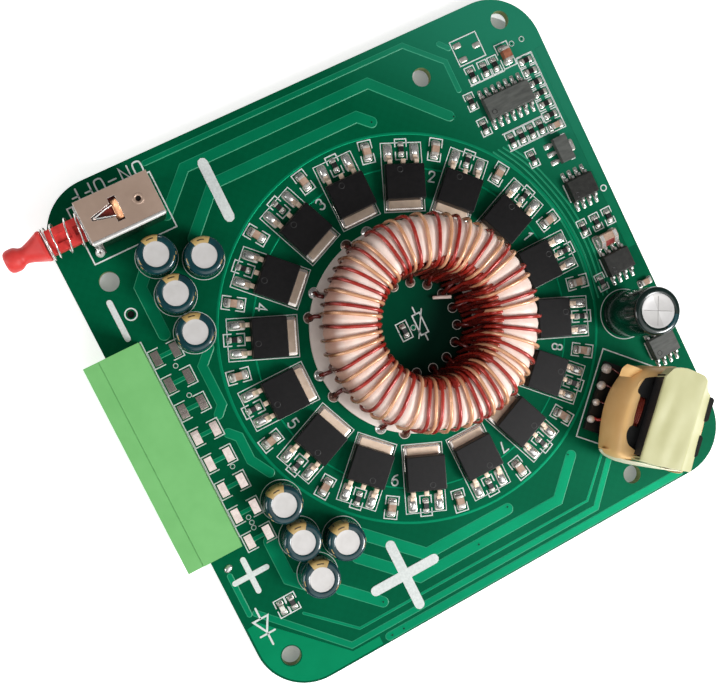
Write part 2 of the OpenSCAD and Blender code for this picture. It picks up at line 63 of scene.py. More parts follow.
# ------------------------------------------------------------------ materials
def mat(name, a, b, scale=0.6, detail=4.0, rough=(0.4, 0.5), metal=0.0, bump=0.0, bscale=6.0, bdist=0.03,
        stretch=(1, 1, 1), spec=0.5, coat=0.0, coat_rough=0.08, span=(0.35, 0.65), aniso=0.0, sub=0.0, tint=None):
    m = bpy.data.materials.new(name)
    m.use_nodes = True
    nt = m.node_tree
    N, L = nt.nodes, nt.links
    bs = N["Principled BSDF"]
    tc = N.new("ShaderNodeTexCoord")
    mp = N.new("ShaderNodeMapping")
    mp.inputs["Scale"].default_value = tuple(1000.0 * s for s in stretch)
    L.new(tc.outputs["Object"], mp.inputs["Vector"])
    n1 = N.new("ShaderNodeTexNoise")
    n1.inputs["Scale"].default_value = scale
    n1.inputs["Detail"].default_value = detail
    n1.inputs["Roughness"].default_value = 0.6
    L.new(mp.outputs[0], n1.inputs["Vector"])
    cr = N.new("ShaderNodeValToRGB")
    cr.color_ramp.elements[0].position = span[0]
    cr.color_ramp.elements[1].position = span[1]
    cr.color_ramp.elements[0].color = lin(a)
    cr.color_ramp.elements[1].color = lin(b)
    L.new(n1.outputs["Fac"], cr.inputs["Fac"])
    L.new(cr.outputs["Color"], bs.inputs["Base Color"])
    n2 = N.new("ShaderNodeTexNoise")
    n2.inputs["Scale"].default_value = scale * 2.7
    n2.inputs["Detail"].default_value = 3.0
    L.new(mp.outputs[0], n2.inputs["Vector"])
    mr = N.new("ShaderNodeMapRange")
    mr.inputs["From Min"].default_value = 0.3
    mr.inputs["From Max"].default_value = 0.7
    mr.inputs["To Min"].default_value = rough[0]
    mr.inputs["To Max"].default_value = rough[1]
    L.new(n2.outputs["Fac"], mr.inputs["Value"])
    L.new(mr.outputs["Result"], bs.inputs["Roughness"])
    bs.inputs["Metallic"].default_value = metal
    bs.inputs["Specular IOR Level"].default_value = spec
    bs.inputs["Coat Weight"].default_value = coat
    bs.inputs["Coat Roughness"].default_value = coat_rough
    bs.inputs["Anisotropic"].default_value = aniso
    if tint:
        bs.inputs["Specular Tint"].default_value = (tint[0], tint[1], tint[2], 1.0)
    if sub:
        bs.inputs["Subsurface Weight"].default_value = sub
        bs.inputs["Subsurface Scale"].default_value = 0.0008
    if bump:
        n3 = N.new("ShaderNodeTexNoise")
        n3.inputs["Scale"].default_value = bscale
        n3.inputs["Detail"].default_value = 3.0
        L.new(mp.outputs[0], n3.inputs["Vector"])
        bu = N.new("ShaderNodeBump")
        bu.inputs["Strength"].default_value = bump
        bu.inputs["Distance"].default_value = bdist * 0.001
        L.new(n3.outputs["Fac"], bu.inputs["Height"])
        L.new(bu.outputs["Normal"], bs.inputs["Normal"])
    return m


def laminate(name):
    """Solder mask on the faces and pale glass laminate on the cut edges, with a faint weave under the mask."""
    m = mat(name, (1, 74, 45), (2, 86, 55), scale=0.05, detail=5, rough=(0.42, 0.52), spec=0.3, tint=(0.03, 0.7, 0.42))
    nt = m.node_tree
    N, L = nt.nodes, nt.links
    bs = N["Principled BSDF"]
    base = bs.inputs["Base Color"].links[0].from_socket
    mp = next(n for n in N if n.type == "MAPPING")
    weave = N.new("ShaderNodeTexChecker")
    weave.inputs["Scale"].default_value = 1.1
    weave.inputs["Color1"].default_value = lin((1, 76, 46))
    weave.inputs["Color2"].default_value = lin((2, 84, 53))
    L.new(mp.outputs[0], weave.inputs["Vector"])
    mixw = N.new("ShaderNodeMix")
    mixw.data_type = "RGBA"
    mixw.inputs["Factor"].default_value = 0.25
    L.new(base, mixw.inputs["A"])
    L.new(weave.outputs["Color"], mixw.inputs["B"])
    geo = N.new("ShaderNodeNewGeometry")
    sep = N.new("ShaderNodeSeparateXYZ")
    L.new(geo.outputs["True Normal"], sep.inputs[0])
    ab = N.new("ShaderNodeMath")
    ab.operation = "ABSOLUTE"
    L.new(sep.outputs["Z"], ab.inputs[0])
    edge = N.new("ShaderNodeTexNoise")
    edge.inputs["Scale"].default_value = 3.0
    L.new(mp.outputs[0], edge.inputs["Vector"])
    er = N.new("ShaderNodeValToRGB")
    er.color_ramp.elements[0].color = lin((70, 92, 52))
    er.color_ramp.elements[1].color = lin((150, 156, 96))
    L.new(edge.outputs["Fac"], er.inputs["Fac"])
    mixe = N.new("ShaderNodeMix")
    mixe.data_type = "RGBA"
    L.new(ab.outputs[0], mixe.inputs["Factor"])
    L.new(er.outputs["Color"], mixe.inputs["A"])
    L.new(mixw.outputs["Result"], mixe.inputs["B"])
    L.new(mixe.outputs["Result"], bs.inputs["Base Color"])
    return m


MASK = laminate("mask_green")
TRACE = mat("trace_green", (4, 118, 79), (7, 128, 87), scale=0.10, rough=(0.36, 0.44), metal=0.3, spec=0.4, tint=(0.05, 0.8, 0.5))
# painted highlight: the sloping sides of the tracks get a lighter green that stands in for light catching their edges
TRACE_EDGE_HIGHLIGHT = mat("trace_edge_painted_highlight", (24, 140, 100), (38, 152, 112), scale=0.10, rough=(0.36, 0.44), spec=0.4)
POUR = mat("pour_green", (4, 118, 76), (8, 132, 87), scale=0.06, detail=5, rough=(0.38, 0.46), metal=0.25, spec=0.4, tint=(0.05, 0.8, 0.5))
POUR2 = mat("edge_green", (2, 92, 58), (5, 106, 69), scale=0.06, detail=5, rough=(0.38, 0.46), metal=0.2, spec=0.4, tint=(0.05, 0.8, 0.5))
# painted shadow: a darker mask for the board inside the bore of the choke
BORE_SHADOW = mat("mask_bore_painted_shadow", (1, 50, 31), (2, 60, 38), scale=0.1, detail=4, rough=(0.45, 0.55), spec=0.25, tint=(0.03, 0.7, 0.42))
SILK = mat("print_white", (206, 211, 208), (222, 227, 224), scale=2.5, rough=(0.55, 0.7), bump=0.12, bscale=8, spec=0.25)
TIN = mat("tinned_pad", (186, 182, 174), (212, 208, 200), scale=0.8, rough=(0.26, 0.38), metal=0.6, bump=0.10, bscale=2.2, bdist=0.03)
LINK = mat("link_tinned", (222, 206, 198), (240, 226, 219), scale=0.9, rough=(0.07, 0.12), metal=0.93, bump=0.10, bscale=1.6, bdist=0.03)
SOLDER = mat("solder_bright", (192, 190, 187), (228, 227, 224), scale=1.2, rough=(0.16, 0.32), metal=0.75, bump=0.2, bscale=2.0, bdist=0.06)
# painted shadow: solder in the bore is darker, and darker still towards +x and -y
SOLDER_BORE_SHADOW = mat("solder_bore_painted_shadow", (104, 80, 70), (140, 114, 102), scale=1.2, rough=(0.25, 0.4), metal=0.6, bump=0.2, bscale=2.0, bdist=0.06)
SOLDER_D = mat("solder_shaded", (96, 70, 60), (136, 108, 96), scale=1.2, rough=(0.25, 0.4), metal=0.6, bump=0.2, bscale=2.0, bdist=0.06)
LEAD = mat("lead_tinned", (200, 196, 192), (224, 221, 217), scale=2.2, rough=(0.24, 0.38), metal=0.65, bump=0.08, bscale=5)
TAB = mat("tab_plated", (220, 194, 170), (234, 210, 188), scale=0.8, rough=(0.36, 0.5), metal=0.3, bump=0.1, bscale=7, bdist=0.02)
END = mat("end_caps", (172, 166, 158), (204, 198, 190), scale=1.8, rough=(0.36, 0.5), metal=0.4, bump=0.1, bscale=6)
RIM = mat("tab_solder", (232, 221, 212), (243, 235, 228), scale=0.9, rough=(0.14, 0.24), metal=0.85, bump=0.1, bscale=2.0, bdist=0.04)
PIN = mat("pin_solder", (226, 213, 205), (240, 230, 223), scale=1.1, rough=(0.28, 0.42), metal=0.3, bump=0.15, bscale=2.0, bdist=0.05)
EPOXY = mat("moulded_black", (10, 9, 10), (17, 15, 16), scale=1.5, rough=(0.30, 0.42), bump=0.25, bscale=14, bdist=0.02, spec=0.25)
EPOXY_G = mat("moulded_grey", (68, 70, 67), (88, 90, 86), scale=0.9, detail=5, rough=(0.45, 0.55), bump=0.25, bscale=12, bdist=0.02, spec=0.4, stretch=(0.4, 1.6, 1))
EPOXY_MARK = mat("moulded_mark", (17, 16, 16), (25, 24, 24), scale=2.5, rough=(0.36, 0.5), bump=0.2, bscale=14, bdist=0.02)
EPOXY_M = mat("moulded_mid", (30, 30, 28), (44, 44, 41), scale=1.2, detail=4, rough=(0.40, 0.5), bump=0.25, bscale=13, bdist=0.02, spec=0.3)
RESIST = mat("resistor_film", (16, 16, 17), (28, 27, 27), scale=3, rough=(0.25, 0.4), coat=0.3, bump=0.08, bscale=8)
MLCC = mat("ceramic_tan", (160, 130, 110), (186, 156, 136), scale=1.2, rough=(0.42, 0.58), bump=0.1, bscale=9, spec=0.35)
MLCC2 = mat("ceramic_brown", (132, 76, 54), (164, 104, 78), scale=1.0, rough=(0.35, 0.5), bump=0.1, bscale=9, spec=0.35)
MLCC3 = mat("ceramic_red", (104, 30, 30), (150, 66, 62), scale=0.9, rough=(0.3, 0.45), bump=0.1, bscale=9)
SLEEVE = mat("sleeve_teal", (4, 46, 52), (8, 60, 66), scale=0.4, rough=(0.10, 0.17), coat=0.4, coat_rough=0.05, bump=0.06, bscale=1.2, bdist=0.05)
SLEEVE2 = mat("sleeve_dark", (3, 22, 19), (5, 32, 27), scale=0.4, rough=(0.16, 0.24), coat=0.4, coat_rough=0.06, bump=0.06, bscale=1.0, bdist=0.05)
STRIPE = mat("sleeve_band", (172, 142, 84), (192, 163, 104), scale=0.9, rough=(0.25, 0.4), coat=0.3)
MARKS = mat("band_marks", (48, 38, 24), (70, 56, 36), scale=2.0, rough=(0.3, 0.45), coat=0.2)
CANTOP = mat("can_top", (206, 203, 200), (213, 210, 208), scale=0.5, detail=2, rough=(0.42, 0.5), metal=0.25, spec=0.4, bump=0.05, bscale=9, bdist=0.01)
CANTOP3 = mat("tall_top", (184, 182, 180), (192, 190, 188), scale=0.5, detail=2, rough=(0.42, 0.5), metal=0.25, spec=0.4, bump=0.05, bscale=9, bdist=0.01)
CANTOP_REFLECTION = mat("tall_top_painted_reflection", (199, 197, 196), (208, 206, 205), scale=0.5, detail=2, rough=(0.36, 0.44), metal=0.28, spec=0.4, bump=0.05, bscale=9, bdist=0.01)
SCORE = mat("tall_top_score", (132, 130, 128), (150, 148, 146), scale=1.5, rough=(0.4, 0.5), metal=0.2)
BUNG = mat("bung_rubber", (24, 24, 24), (40, 39, 38), scale=2, rough=(0.7, 0.85), bump=0.2, bscale=6)
HEADER = mat("header_green", (116, 186, 110), (121, 191, 115), scale=0.25, detail=2, rough=(0.5, 0.6), bump=0.10, bscale=10, bdist=0.015, spec=0.3)
CASE = mat("case_plated", (190, 163, 145), (197, 170, 152), scale=0.35, detail=2, rough=(0.30, 0.38), metal=0.45, bump=0.04, bscale=9, bdist=0.01)
# painted highlight: a bright copy of the case metal; the next one is a darker mirror copy as painted shade
CASE_HIGHLIGHT = mat("case_painted_highlight", (232, 230, 226), (246, 244, 242), scale=0.8, rough=(0.2, 0.3), metal=0.45, bump=0.04, bscale=5)
CASE_SIDE_SHADE = mat("case_mirror_painted_shade", (120, 116, 110), (150, 146, 140), scale=0.6, rough=(0.1, 0.18), metal=0.95)
COPPERY = mat("strip_copper", (196, 132, 92), (222, 164, 122), scale=1.4, rough=(0.25, 0.4), metal=0.6, bump=0.08, bscale=6)
RED = mat("plunger_red", (216, 58, 55), (225, 68, 64), scale=0.5, detail=2, rough=(0.4, 0.5), bump=0.06, bscale=9, bdist=0.015, spec=0.35, sub=0.08)
SPRING = mat("spring_steel", (226, 226, 220), (244, 244, 240), scale=2.0, rough=(0.16, 0.26), metal=0.85)
FERRITE = mat("ferrite_grey", (22, 22, 24), (34, 33, 34), scale=2.0, rough=(0.55, 0.7), bump=0.25, bscale=10)
WRAP = mat("wrap_cream", (246, 219, 205), (252, 234, 224), scale=0.4, rough=(0.36, 0.48), bump=0.15, bscale=2.2, bdist=0.06)
# dark red inner wall: it stands for the packed wires there and is also painted shade
WRAP_INNER_WIRES_AND_SHADE = mat("wrap_inner_wires_and_painted_shade", (62, 14, 11), (96, 26, 20), scale=0.5, rough=(0.4, 0.55), bump=0.15, bscale=2.2, bdist=0.06, spec=0.3)
BASE = mat("base_white", (222, 208, 199), (234, 222, 213), scale=0.3, rough=(0.5, 0.62), bump=0.08, bscale=5)
WIRE_C = mat("enamel_copper", (222, 158, 116), (240, 186, 146), scale=0.35, rough=(0.18, 0.28), metal=0.25, coat=0.6, coat_rough=0.07)
WIRE_R = mat("enamel_red", (156, 33, 26), (184, 53, 41), scale=0.35, rough=(0.2, 0.3), metal=0.2, coat=0.5, coat_rough=0.08)
# dark red enamel; on the inner turns of the choke its darkness is also painted shade
WIRE_DARK_AND_SHADE = mat("enamel_dark_and_painted_shade", (76, 14, 12), (112, 26, 20), scale=0.6, rough=(0.2, 0.32), metal=0.2, coat=0.4)
BOBBIN = mat("bobbin_black", (12, 12, 13), (20, 20, 21), scale=1.2, rough=(0.4, 0.55), bump=0.1, bscale=8, spec=0.4)
# painted shade: the tan stands for the yellow tape as it looks in shade, on the skin over the winding
TAPE_TAN_SHADE = mat("tape_tan", (236, 188, 122), (244, 200, 136), scale=0.14, detail=3, rough=(0.38, 0.48), bump=0.12, bscale=0.7, bdist=0.10, spec=0.35)
TAPE_Y = mat("tape_yellow", (188, 186, 138), (198, 196, 150), scale=0.12, detail=3, rough=(0.36, 0.46), bump=0.12, bscale=0.6, bdist=0.10, spec=0.3)
# painted highlight: a paler copy of the tape for the flared edge that catches the light
TAPE_EDGE_HIGHLIGHT = mat("tape_edge_painted_highlight", (232, 228, 196), (244, 241, 216), scale=0.3, detail=3, rough=(0.4, 0.5), bump=0.1, bscale=1.2, bdist=0.06, spec=0.3)
LENS = mat("indicator_lens", (206, 206, 194), (228, 228, 218), scale=1.5, rough=(0.15, 0.25), coat=0.4)
# black for the flange ends; in the holes and the dimple it is painted shade
HOLE_SHADE_AND_BLACK = mat("hole_shade_and_black_plastic", (8, 10, 8), (16, 18, 15), scale=2.0, rough=(0.6, 0.8), spec=0.2)


# ------------------------------------------------------------------ mesh helpers
class Col:
    """Collects faces in board millimetres for one piece."""

    def __init__(self):
        self.v, self.f, self.m, self.s = [], [], [], []

    def put(self, vs, fs, T=None, m=0, smooth=False):
        o = len(self.v)
        if T is not None:
            vs = [tuple(T @ Vector(p)) for p in vs]
        self.v += [tuple(p) for p in vs]
        self.f += [tuple(i + o for i in f) for f in fs]
        self.m += [m] * len(fs)
        self.s += [smooth] * len(fs)


def finish_mesh(me, bevel=0.0, segs=2, angle=32.0, smooth=None, weld=False, flat=0.0):
    bm = bmesh.new()
    bm.from_mesh(me)
    if weld:
        bmesh.ops.remove_doubles(bm, verts=bm.verts, dist=2e-6)
    if flat:
        bmesh.ops.dissolve_limit(bm, angle_limit=math.radians(flat), verts=bm.verts, edges=bm.edges)
    bmesh.ops.recalc_face_normals(bm, faces=bm.faces)
    if bevel:
        lim = math.radians(angle)
        es = [e for e in bm.edges if len(e.link_faces) == 2 and e.calc_face_angle(0.0) > lim]
        bmesh.ops.bevel(bm, geom=es, offset=bevel * 0.001, offset_type="OFFSET", segments=segs, profile=0.6,
                        affect="EDGES", clamp_overlap=True)
    bm.to_mesh(me)
    bm.free()
    if smooth is not None:
        me.polygons.foreach_set("use_smooth", [True] * len(me.polygons))
        me.set_sharp_from_angle(angle=math.radians(smooth))
    me.update()


def place(name, me, body, rep, wn):
    ob = bpy.data.objects.new(name, me)
    scene.collection.objects.link(ob)
    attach(ob, body)
    if rep:
        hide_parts(*rep)
    if wn:
        w = ob.modifiers.new("shading", "WEIGHTED_NORMAL")
        w.keep_sharp = True
    return ob


def piece(name, col, mats, body="board", rep=(), bevel=0.0, segs=2, angle=32.0, smooth=None, wn=False):
    me = bpy.data.meshes.new(name)
    me.from_pydata([W(p) for p in col.v], [], col.f)
    for m in mats:
        me.materials.append(m)
    me.polygons.foreach_set("material_index", col.m)
    me.polygons.foreach_set("use_smooth", col.s)
    finish_mesh(me, bevel, segs, angle, smooth)
    return place(name, me, body, rep, wn or bevel > 0)


def refined(node, mats, bevel=0.08, segs=2, angle=32.0, smooth=40.0, body="board", pick=None, flat=0.4):
    """A copy of a CAD node with broken edges, which stands for it."""
    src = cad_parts[node].data
    name = node + "_piece"
    me = bpy.data.meshes.new(name)
    me.from_pydata([tuple(v.co) for v in src.vertices], [], [tuple(p.vertices) for p in src.polygons])
    for m in mats:
        me.materials.append(m)
    finish_mesh(me, bevel, segs, angle, smooth, weld=True, flat=flat)
    if pick:
        for p in me.polygons:
            c, n = p.center, p.normal
            p.material_index = pick((c.x * 1000 - SX, c.y * 1000, c.z * 1000 - ZB), n)
    return place(name, me, body, (node,), True)


def paint(node, m):
    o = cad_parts[node]
    o.data.materials.clear()
    o.data.materials.append(m)


def rot(x, y, deg, z=0.0):
    return Matrix.Translation((x, y, z)) @ Matrix.Rotation(math.radians(deg), 4, "Z")


def block(c, x0, x1, y0, y1, z0, z1, T=None, m=0):
    v = [(x, y, z) for z in (z0, z1) for y in (y0, y1) for x in (x0, x1)]
    c.put(v, [(0, 2, 3, 1), (4, 5, 7, 6), (0, 1, 5, 4), (2, 6, 7, 3), (0, 4, 6, 2), (1, 3, 7, 5)], T, m)


def prism(c, poly, z0, z1, T=None, m=0, top=1.0):
    n = len(poly)
    cx = sum(p[0] for p in poly) / n
    cy = sum(p[1] for p in poly) / n
    v = [(p[0], p[1], z0) for p in poly] + [(cx + (p[0] - cx) * top, cy + (p[1] - cy) * top, z1) for p in poly]
    f = [tuple(range(n - 1, -1, -1)), tuple(range(n, 2 * n))]
    f += [(i, (i + 1) % n, n + (i + 1) % n, n + i) for i in range(n)]
    c.put(v, f, T, m)


def sides(path, hw, closed):
    """Left and right offsets of a polyline with mitred corners."""
    n = len(path)
    left, right = [], []
    for i in range(n):
        p = Vector(path[i])
        a = Vector(path[(i - 1) % n]) if (closed or i > 0) else None
        b = Vector(path[(i + 1) % n]) if (closed or i < n - 1) else None
        d1 = (p - a).normalized() if a is not None else None
        d2 = (b - p).normalized() if b is not None else None
        if d1 is None:
            d1 = d2
        if d2 is None:
            d2 = d1
        n1, n2 = Vector((-d1.y, d1.x)), Vector((-d2.y, d2.x))
        mid = n1 + n2
        if mid.length < 1e-6:
            mid = n1.copy()
        mid.normalize()
        k = min(1.0 / max(mid.dot(n1), 0.35), 2.5)
        left.append(p + mid * hw * k)
        right.append(p - mid * hw * k)
    return left, right


def strip(c, path, w, z0, z1, ch=0.0, closed=False, T=None, m=0, cap=5, edge=None):
    """A raised ribbon along a polyline, with sloping edges and round ends."""
    path = [(float(p[0]), float(p[1])) for p in path]
    rings = []
    for hw, z in ((w / 2, z0), (w / 2, z0 + (z1 - z0) * 0.35), (max(w / 2 - ch, w * 0.12), z1)) if ch else ((w / 2, z0), (w / 2, z1)):
        left, right = sides(path, hw, closed)
        rings.append((left, right, hw, z))
    n = len(path)
    if closed:
        v, f = [], []
        for left, right, hw, z in rings:
            v += [(p.x, p.y, z) for p in left] + [(p.x, p.y, z) for p in right]
        R = len(rings)
        for i in range(n):
            j = (i + 1) % n
            for k in range(R - 1):
                o, q = k * 2 * n, (k + 1) * 2 * n
                f.append((o + j, o + i, q + i, q + j))
                f.append((o + n + i, o + n + j, q + n + j, q + n + i))
            q = (R - 1) * 2 * n
            f.append((q + i, q + n + i, q + n + j, q + j))
            f.append((i, j, n + j, n + i))
        c.put(v, f, T, m)
        return
    v, f = [], []
    d0 = (Vector(path[0]) - Vector(path[1])).normalized()
    d1 = (Vector(path[-1]) - Vector(path[-2])).normalized()
    per = None
    for left, right, hw, z in rings:
        ring = [p for p in left]
        a0 = math.atan2(d1.y, d1.x)
        ring += [Vector(path[-1]) + hw * Vector((math.cos(a0 + math.pi / 2 - math.pi * k / cap), math.sin(a0 + math.pi / 2 - math.pi * k / cap))) for k in range(1, cap)]
        ring += right[::-1]
        a0 = math.atan2(d0.y, d0.x)
        ring += [Vector(path[0]) + hw * Vector((math.cos(a0 + math.pi / 2 - math.pi * k / cap), math.sin(a0 + math.pi / 2 - math.pi * k / cap))) for k in range(1, cap)]
        per = len(ring)
        v += [(p.x, p.y, z) for p in ring]
    R = len(rings)
    for k in range(R - 1):
        for i in range(per):
            j = (i + 1) % per
            f.append((k * per + j, k * per + i, (k + 1) * per + i, (k + 1) * per + j))
    for base, up in (((R - 1) * per, True), (0, False)):
        def face(ids):
            f.append(tuple(base + i for i in (ids[::-1] if up else ids)))
        e = n + cap - 1          # first right-hand index, at the last point
        for i in range(n - 1):
            face((i, i + 1, e + n - 2 - i, e + n - 1 - i))
        face(tuple(range(n - 1, n + cap)))
        face(tuple(range(e + n - 1, per)) + (0,))
    first = len(c.f)
    c.put(v, f, T, m)
    # edge gives the sloping sides their own material; the tracks use it for a painted highlight
    if edge is not None and ch:
        for q in range((R - 2) * per, (R - 1) * per):
            c.m[first + q] = edge


def arc(cx, cy, r, a0, a1, n):
    return [(cx + r * math.cos(math.radians(a0 + (a1 - a0) * i / n)), cy + r * math.sin(math.radians(a0 + (a1 - a0) * i / n))) for i in range(n + 1)]


def circle(cx, cy, r, n=48):
    return arc(cx, cy, r, 0, 360, n)[:-1]


def lathe(c, prof, cx, cy, n=32, T=None, m=0, smooth=True, band=None, z=0.0):
    """Turns a profile (r, z) round an upright axis. band(angle) gives the material of a column of faces."""
    v, f, ms = [], [], []
    k = len(prof)
    for i in range(n):
        a = 2 * math.pi * i / n
        for r, h in prof:
            v.append((cx + r * math.cos(a), cy + r * math.sin(a), h + z))
    for i in range(n):
        j = (i + 1) % n
        mm = band(360.0 * (i + 0.5) / n) if band else None
        for q in range(k - 1):
            if prof[q][0] < 1e-6 and prof[q + 1][0] < 1e-6:
                continue
            if prof[q][0] < 1e-6:
                f.append((i * k + q, j * k + q + 1, i * k + q + 1))
            elif prof[q + 1][0] < 1e-6:
                f.append((i * k + q, j * k + q, i * k + q + 1))
            else:
                f.append((i * k + q, j * k + q, j * k + q + 1, i * k + q + 1))
            ms.append(mm(q) if mm else m)
    o = len(c.v)
    if T is not None:
        v = [tuple(T @ Vector(p)) for p in v]
    c.v += v
    c.f += [tuple(i + o for i in x) for x in f]
    c.m += ms
    c.s += [smooth] * len(f)


def annulus(c, cx, cy, r0, r1, z0, z1, n=24, m=0, ch=0.04):
    prof = [(r0, z0), (r0, z1 - ch), (r0 + ch, z1), (r1 - ch, z1), (r1, z1 - ch), (r1, z0), (r0, z0)]
    lathe(c, prof, cx, cy, n, None, m, False)


def tube(c, pts, r, n=8, closed=False, m=0, cap=True, flatten=1.0):
    P = [Vector(p) for p in pts]
    k = len(P)
    tang = []
    for i in range(k):
        a = P[(i - 1) % k] if closed or i > 0 else P[i]
        b = P[(i + 1) % k] if closed or i < k - 1 else P[i]
        tang.append((b - a).normalized())
    t0 = tang[0]
    ref = Vector((0, 0, 1)) if abs(t0.z) < 0.9 else Vector((1, 0, 0))
    nrm = (ref - t0 * ref.dot(t0)).normalized()
    frames = []
    for i in range(k):
        if i:
            ax = tang[i - 1].cross(tang[i])
            if ax.length > 1e-9:
                ang = tang[i - 1].angle(tang[i])
                nrm = Matrix.Rotation(ang, 3, ax.normalized()) @ nrm
        nrm = (nrm - tang[i] * nrm.dot(tang[i])).normalized()
        frames.append((nrm.copy(), tang[i].cross(nrm)))
    twist = 0.0
    if closed:
        ax = tang[-1].cross(tang[0])
        e = Matrix.Rotation(tang[-1].angle(tang[0]), 3, ax.normalized()) @ frames[-1][0] if ax.length > 1e-9 else frames[-1][0]
        twist = math.atan2(e.cross(frames[0][0]).dot(tang[0]), e.dot(frames[0][0]))
    v, f = [], []
    for i in range(k):
        a0 = twist * i / k
        for j in range(n):
            a = a0 + 2 * math.pi * j / n
            v.append(tuple(P[i] + frames[i][0] * (r * math.cos(a)) + frames[i][1] * (r * flatten * math.sin(a))))
    for i in range(k if closed else k - 1):
        q = (i + 1) % k
        for j in range(n):
            l = (j + 1) % n
            f.append((i * n + j, i * n + l, q * n + l, q * n + j))
    if not closed and cap:
        v.append(tuple(P[0] - tang[0] * r * 0.45))
        v.append(tuple(P[-1] + tang[-1] * r * 0.45))
        for j in range(n):
            l = (j + 1) % n
            f.append((len(v) - 2, l, j))
            f.append((len(v) - 1, (k - 1) * n + j, (k - 1) * n + l))
    c.put(v, f, None, m, True)


def pillow(c, x, y, lx, ly, h, deg=0.0, T=None, m=0, n=20, e=4.0, rings=4, z=0.0, lean=(0.0, 0.0), top=0.15):
    """A soldered pad: a rounded rectangle that swells to a crown."""
    M = Matrix.Translation((x, y, z)) @ Matrix.Rotation(math.radians(deg), 4, "Z")
    if T is not None:
        M = T @ M
    v, f = [], []
    out = []
    for i in range(n):
        a = 2 * math.pi * (i + 0.5) / n
        cc, ss = math.cos(a), math.sin(a)
        out.append((math.copysign(abs(cc) ** (2 / e), cc) * lx / 2, math.copysign(abs(ss) ** (2 / e), ss) * ly / 2))
    for k in range(rings + 1):
        t = k / rings
        s = top + (1 - top) * math.cos(t * math.pi / 2) ** 0.75
        hh = h * math.sin(t * math.pi / 2)
        v += [(p[0] * s + lean[0] * t, p[1] * s + lean[1] * t, hh) for p in out]
    v.append((lean[0], lean[1], h * 1.005))
    b = len(v)
    v += [(p[0], p[1], -0.01) for p in out]
    for k in range(rings):
        for i in range(n):
            j = (i + 1) % n
            f.append((k * n + i, k * n + j, (k + 1) * n + j, (k + 1) * n + i))
    for i in range(n):
        j = (i + 1) % n
        f.append((rings * n + i, rings * n + j, b - 1))
        f.append((b + j, j, i, b + i))
    f.append(tuple(b + i for i in range(n - 1, -1, -1)))
    c.put(v, f, M, m, True)


def sheet(c, fn, nu, nv, th, T=None, m=0, wrap=False):
    """A thin skin on a parametric surface fn(s, t) -> (x, y, z), given a thickness along its normals."""
    P = [[Vector(fn(i / nu, j / nv)) for j in range(nv + 1)] for i in range(nu + 1)]
    Nn = []
    for i in range(nu + 1):
        row = []
        for j in range(nv + 1):
            a = P[min(i + 1, nu)][j] - P[max(i - 1, 0)][j]
            b = P[i][min(j + 1, nv)] - P[i][max(j - 1, 0)]
            q = a.cross(b)
            row.append(q.normalized() if q.length > 1e-12 else Vector((0, 0, 1)))
        Nn.append(row)
    v, f = [], []
    for s in (0.0, -th):
        for i in range(nu + 1):
            for j in range(nv + 1):
                v.append(tuple(P[i][j] + Nn[i][j] * s))
    o = (nu + 1) * (nv + 1)
    g = lambda i, j: i * (nv + 1) + j
    for i in range(nu):
        for j in range(nv):
            f.append((g(i, j), g(i + 1, j), g(i + 1, j + 1), g(i, j + 1)))
            f.append((o + g(i, j + 1), o + g(i + 1, j + 1), o + g(i + 1, j), o + g(i, j)))
    for i in range(nu):
        f.append((g(i + 1, 0), g(i, 0), o + g(i, 0), o + g(i + 1, 0)))
        f.append((g(i, nv), g(i + 1, nv), o + g(i + 1, nv), o + g(i, nv)))
    for j in range(nv):
        f.append((g(0, j), g(0, j + 1), o + g(0, j + 1), o + g(0, j)))
        f.append((g(nu, j + 1), g(nu, j), o + g(nu, j), o + g(nu, j + 1)))
    c.put(v, f, T, m, True)


def soften(path, times=2):
    for _ in range(times):
        out = [path[0]]
        for a, b in zip(path, path[1:]):
            out.append((a[0] * 0.75 + b[0] * 0.25, a[1] * 0.75 + b[1] * 0.25))
            out.append((a[0] * 0.25 + b[0] * 0.75, a[1] * 0.25 + b[1] * 0.75))
        out.append(path[-1])
        path = out
    return path


# ------------------------------------------------------------------ board, tracks and print
paint("circuit_board", MASK)
traces, pours, silk, pads, solder, holes, rims = Col(), Col(), Col(), Col(), Col(), Col(), Col()
TZ = 0.06


def un(pts):
    return [(p[0] * UN, p[1] * UN) for p in pts]


def trace(pts, w, mm=False):
    # material 1 on the sloping sides is the painted highlight
    strip(traces, pts if mm else un(pts), w if mm else w * UN, -0.01, TZ, 0.13 if w > 0.6 else 0.09, cap=10, edge=1)


def line(pts, w=0.2, closed=False, T=None):
    strip(silk, pts, w, -0.005, 0.085, 0.02, closed, T, cap=4)


def via(x, y, r=0.3, ring=False):
    annulus(traces, x, y, 0.13, r + 0.04, -0.005, TZ + 0.025, 16, ch=0.03)
    # painted shade: a dark plug fills the via hole
    lathe(holes, [(0.0, 0.075), (0.15, 0.075), (0.15, -0.3), (0.0, -0.3)], x, y, 10, None, 0, False)
    if ring:
        strip(silk, circle(x, y, r + 0.14, 20), 0.09, -0.005, 0.07, 0.0, True)


def pour(pts, z=0.032):
    prism(pours, pts, -0.01, z)


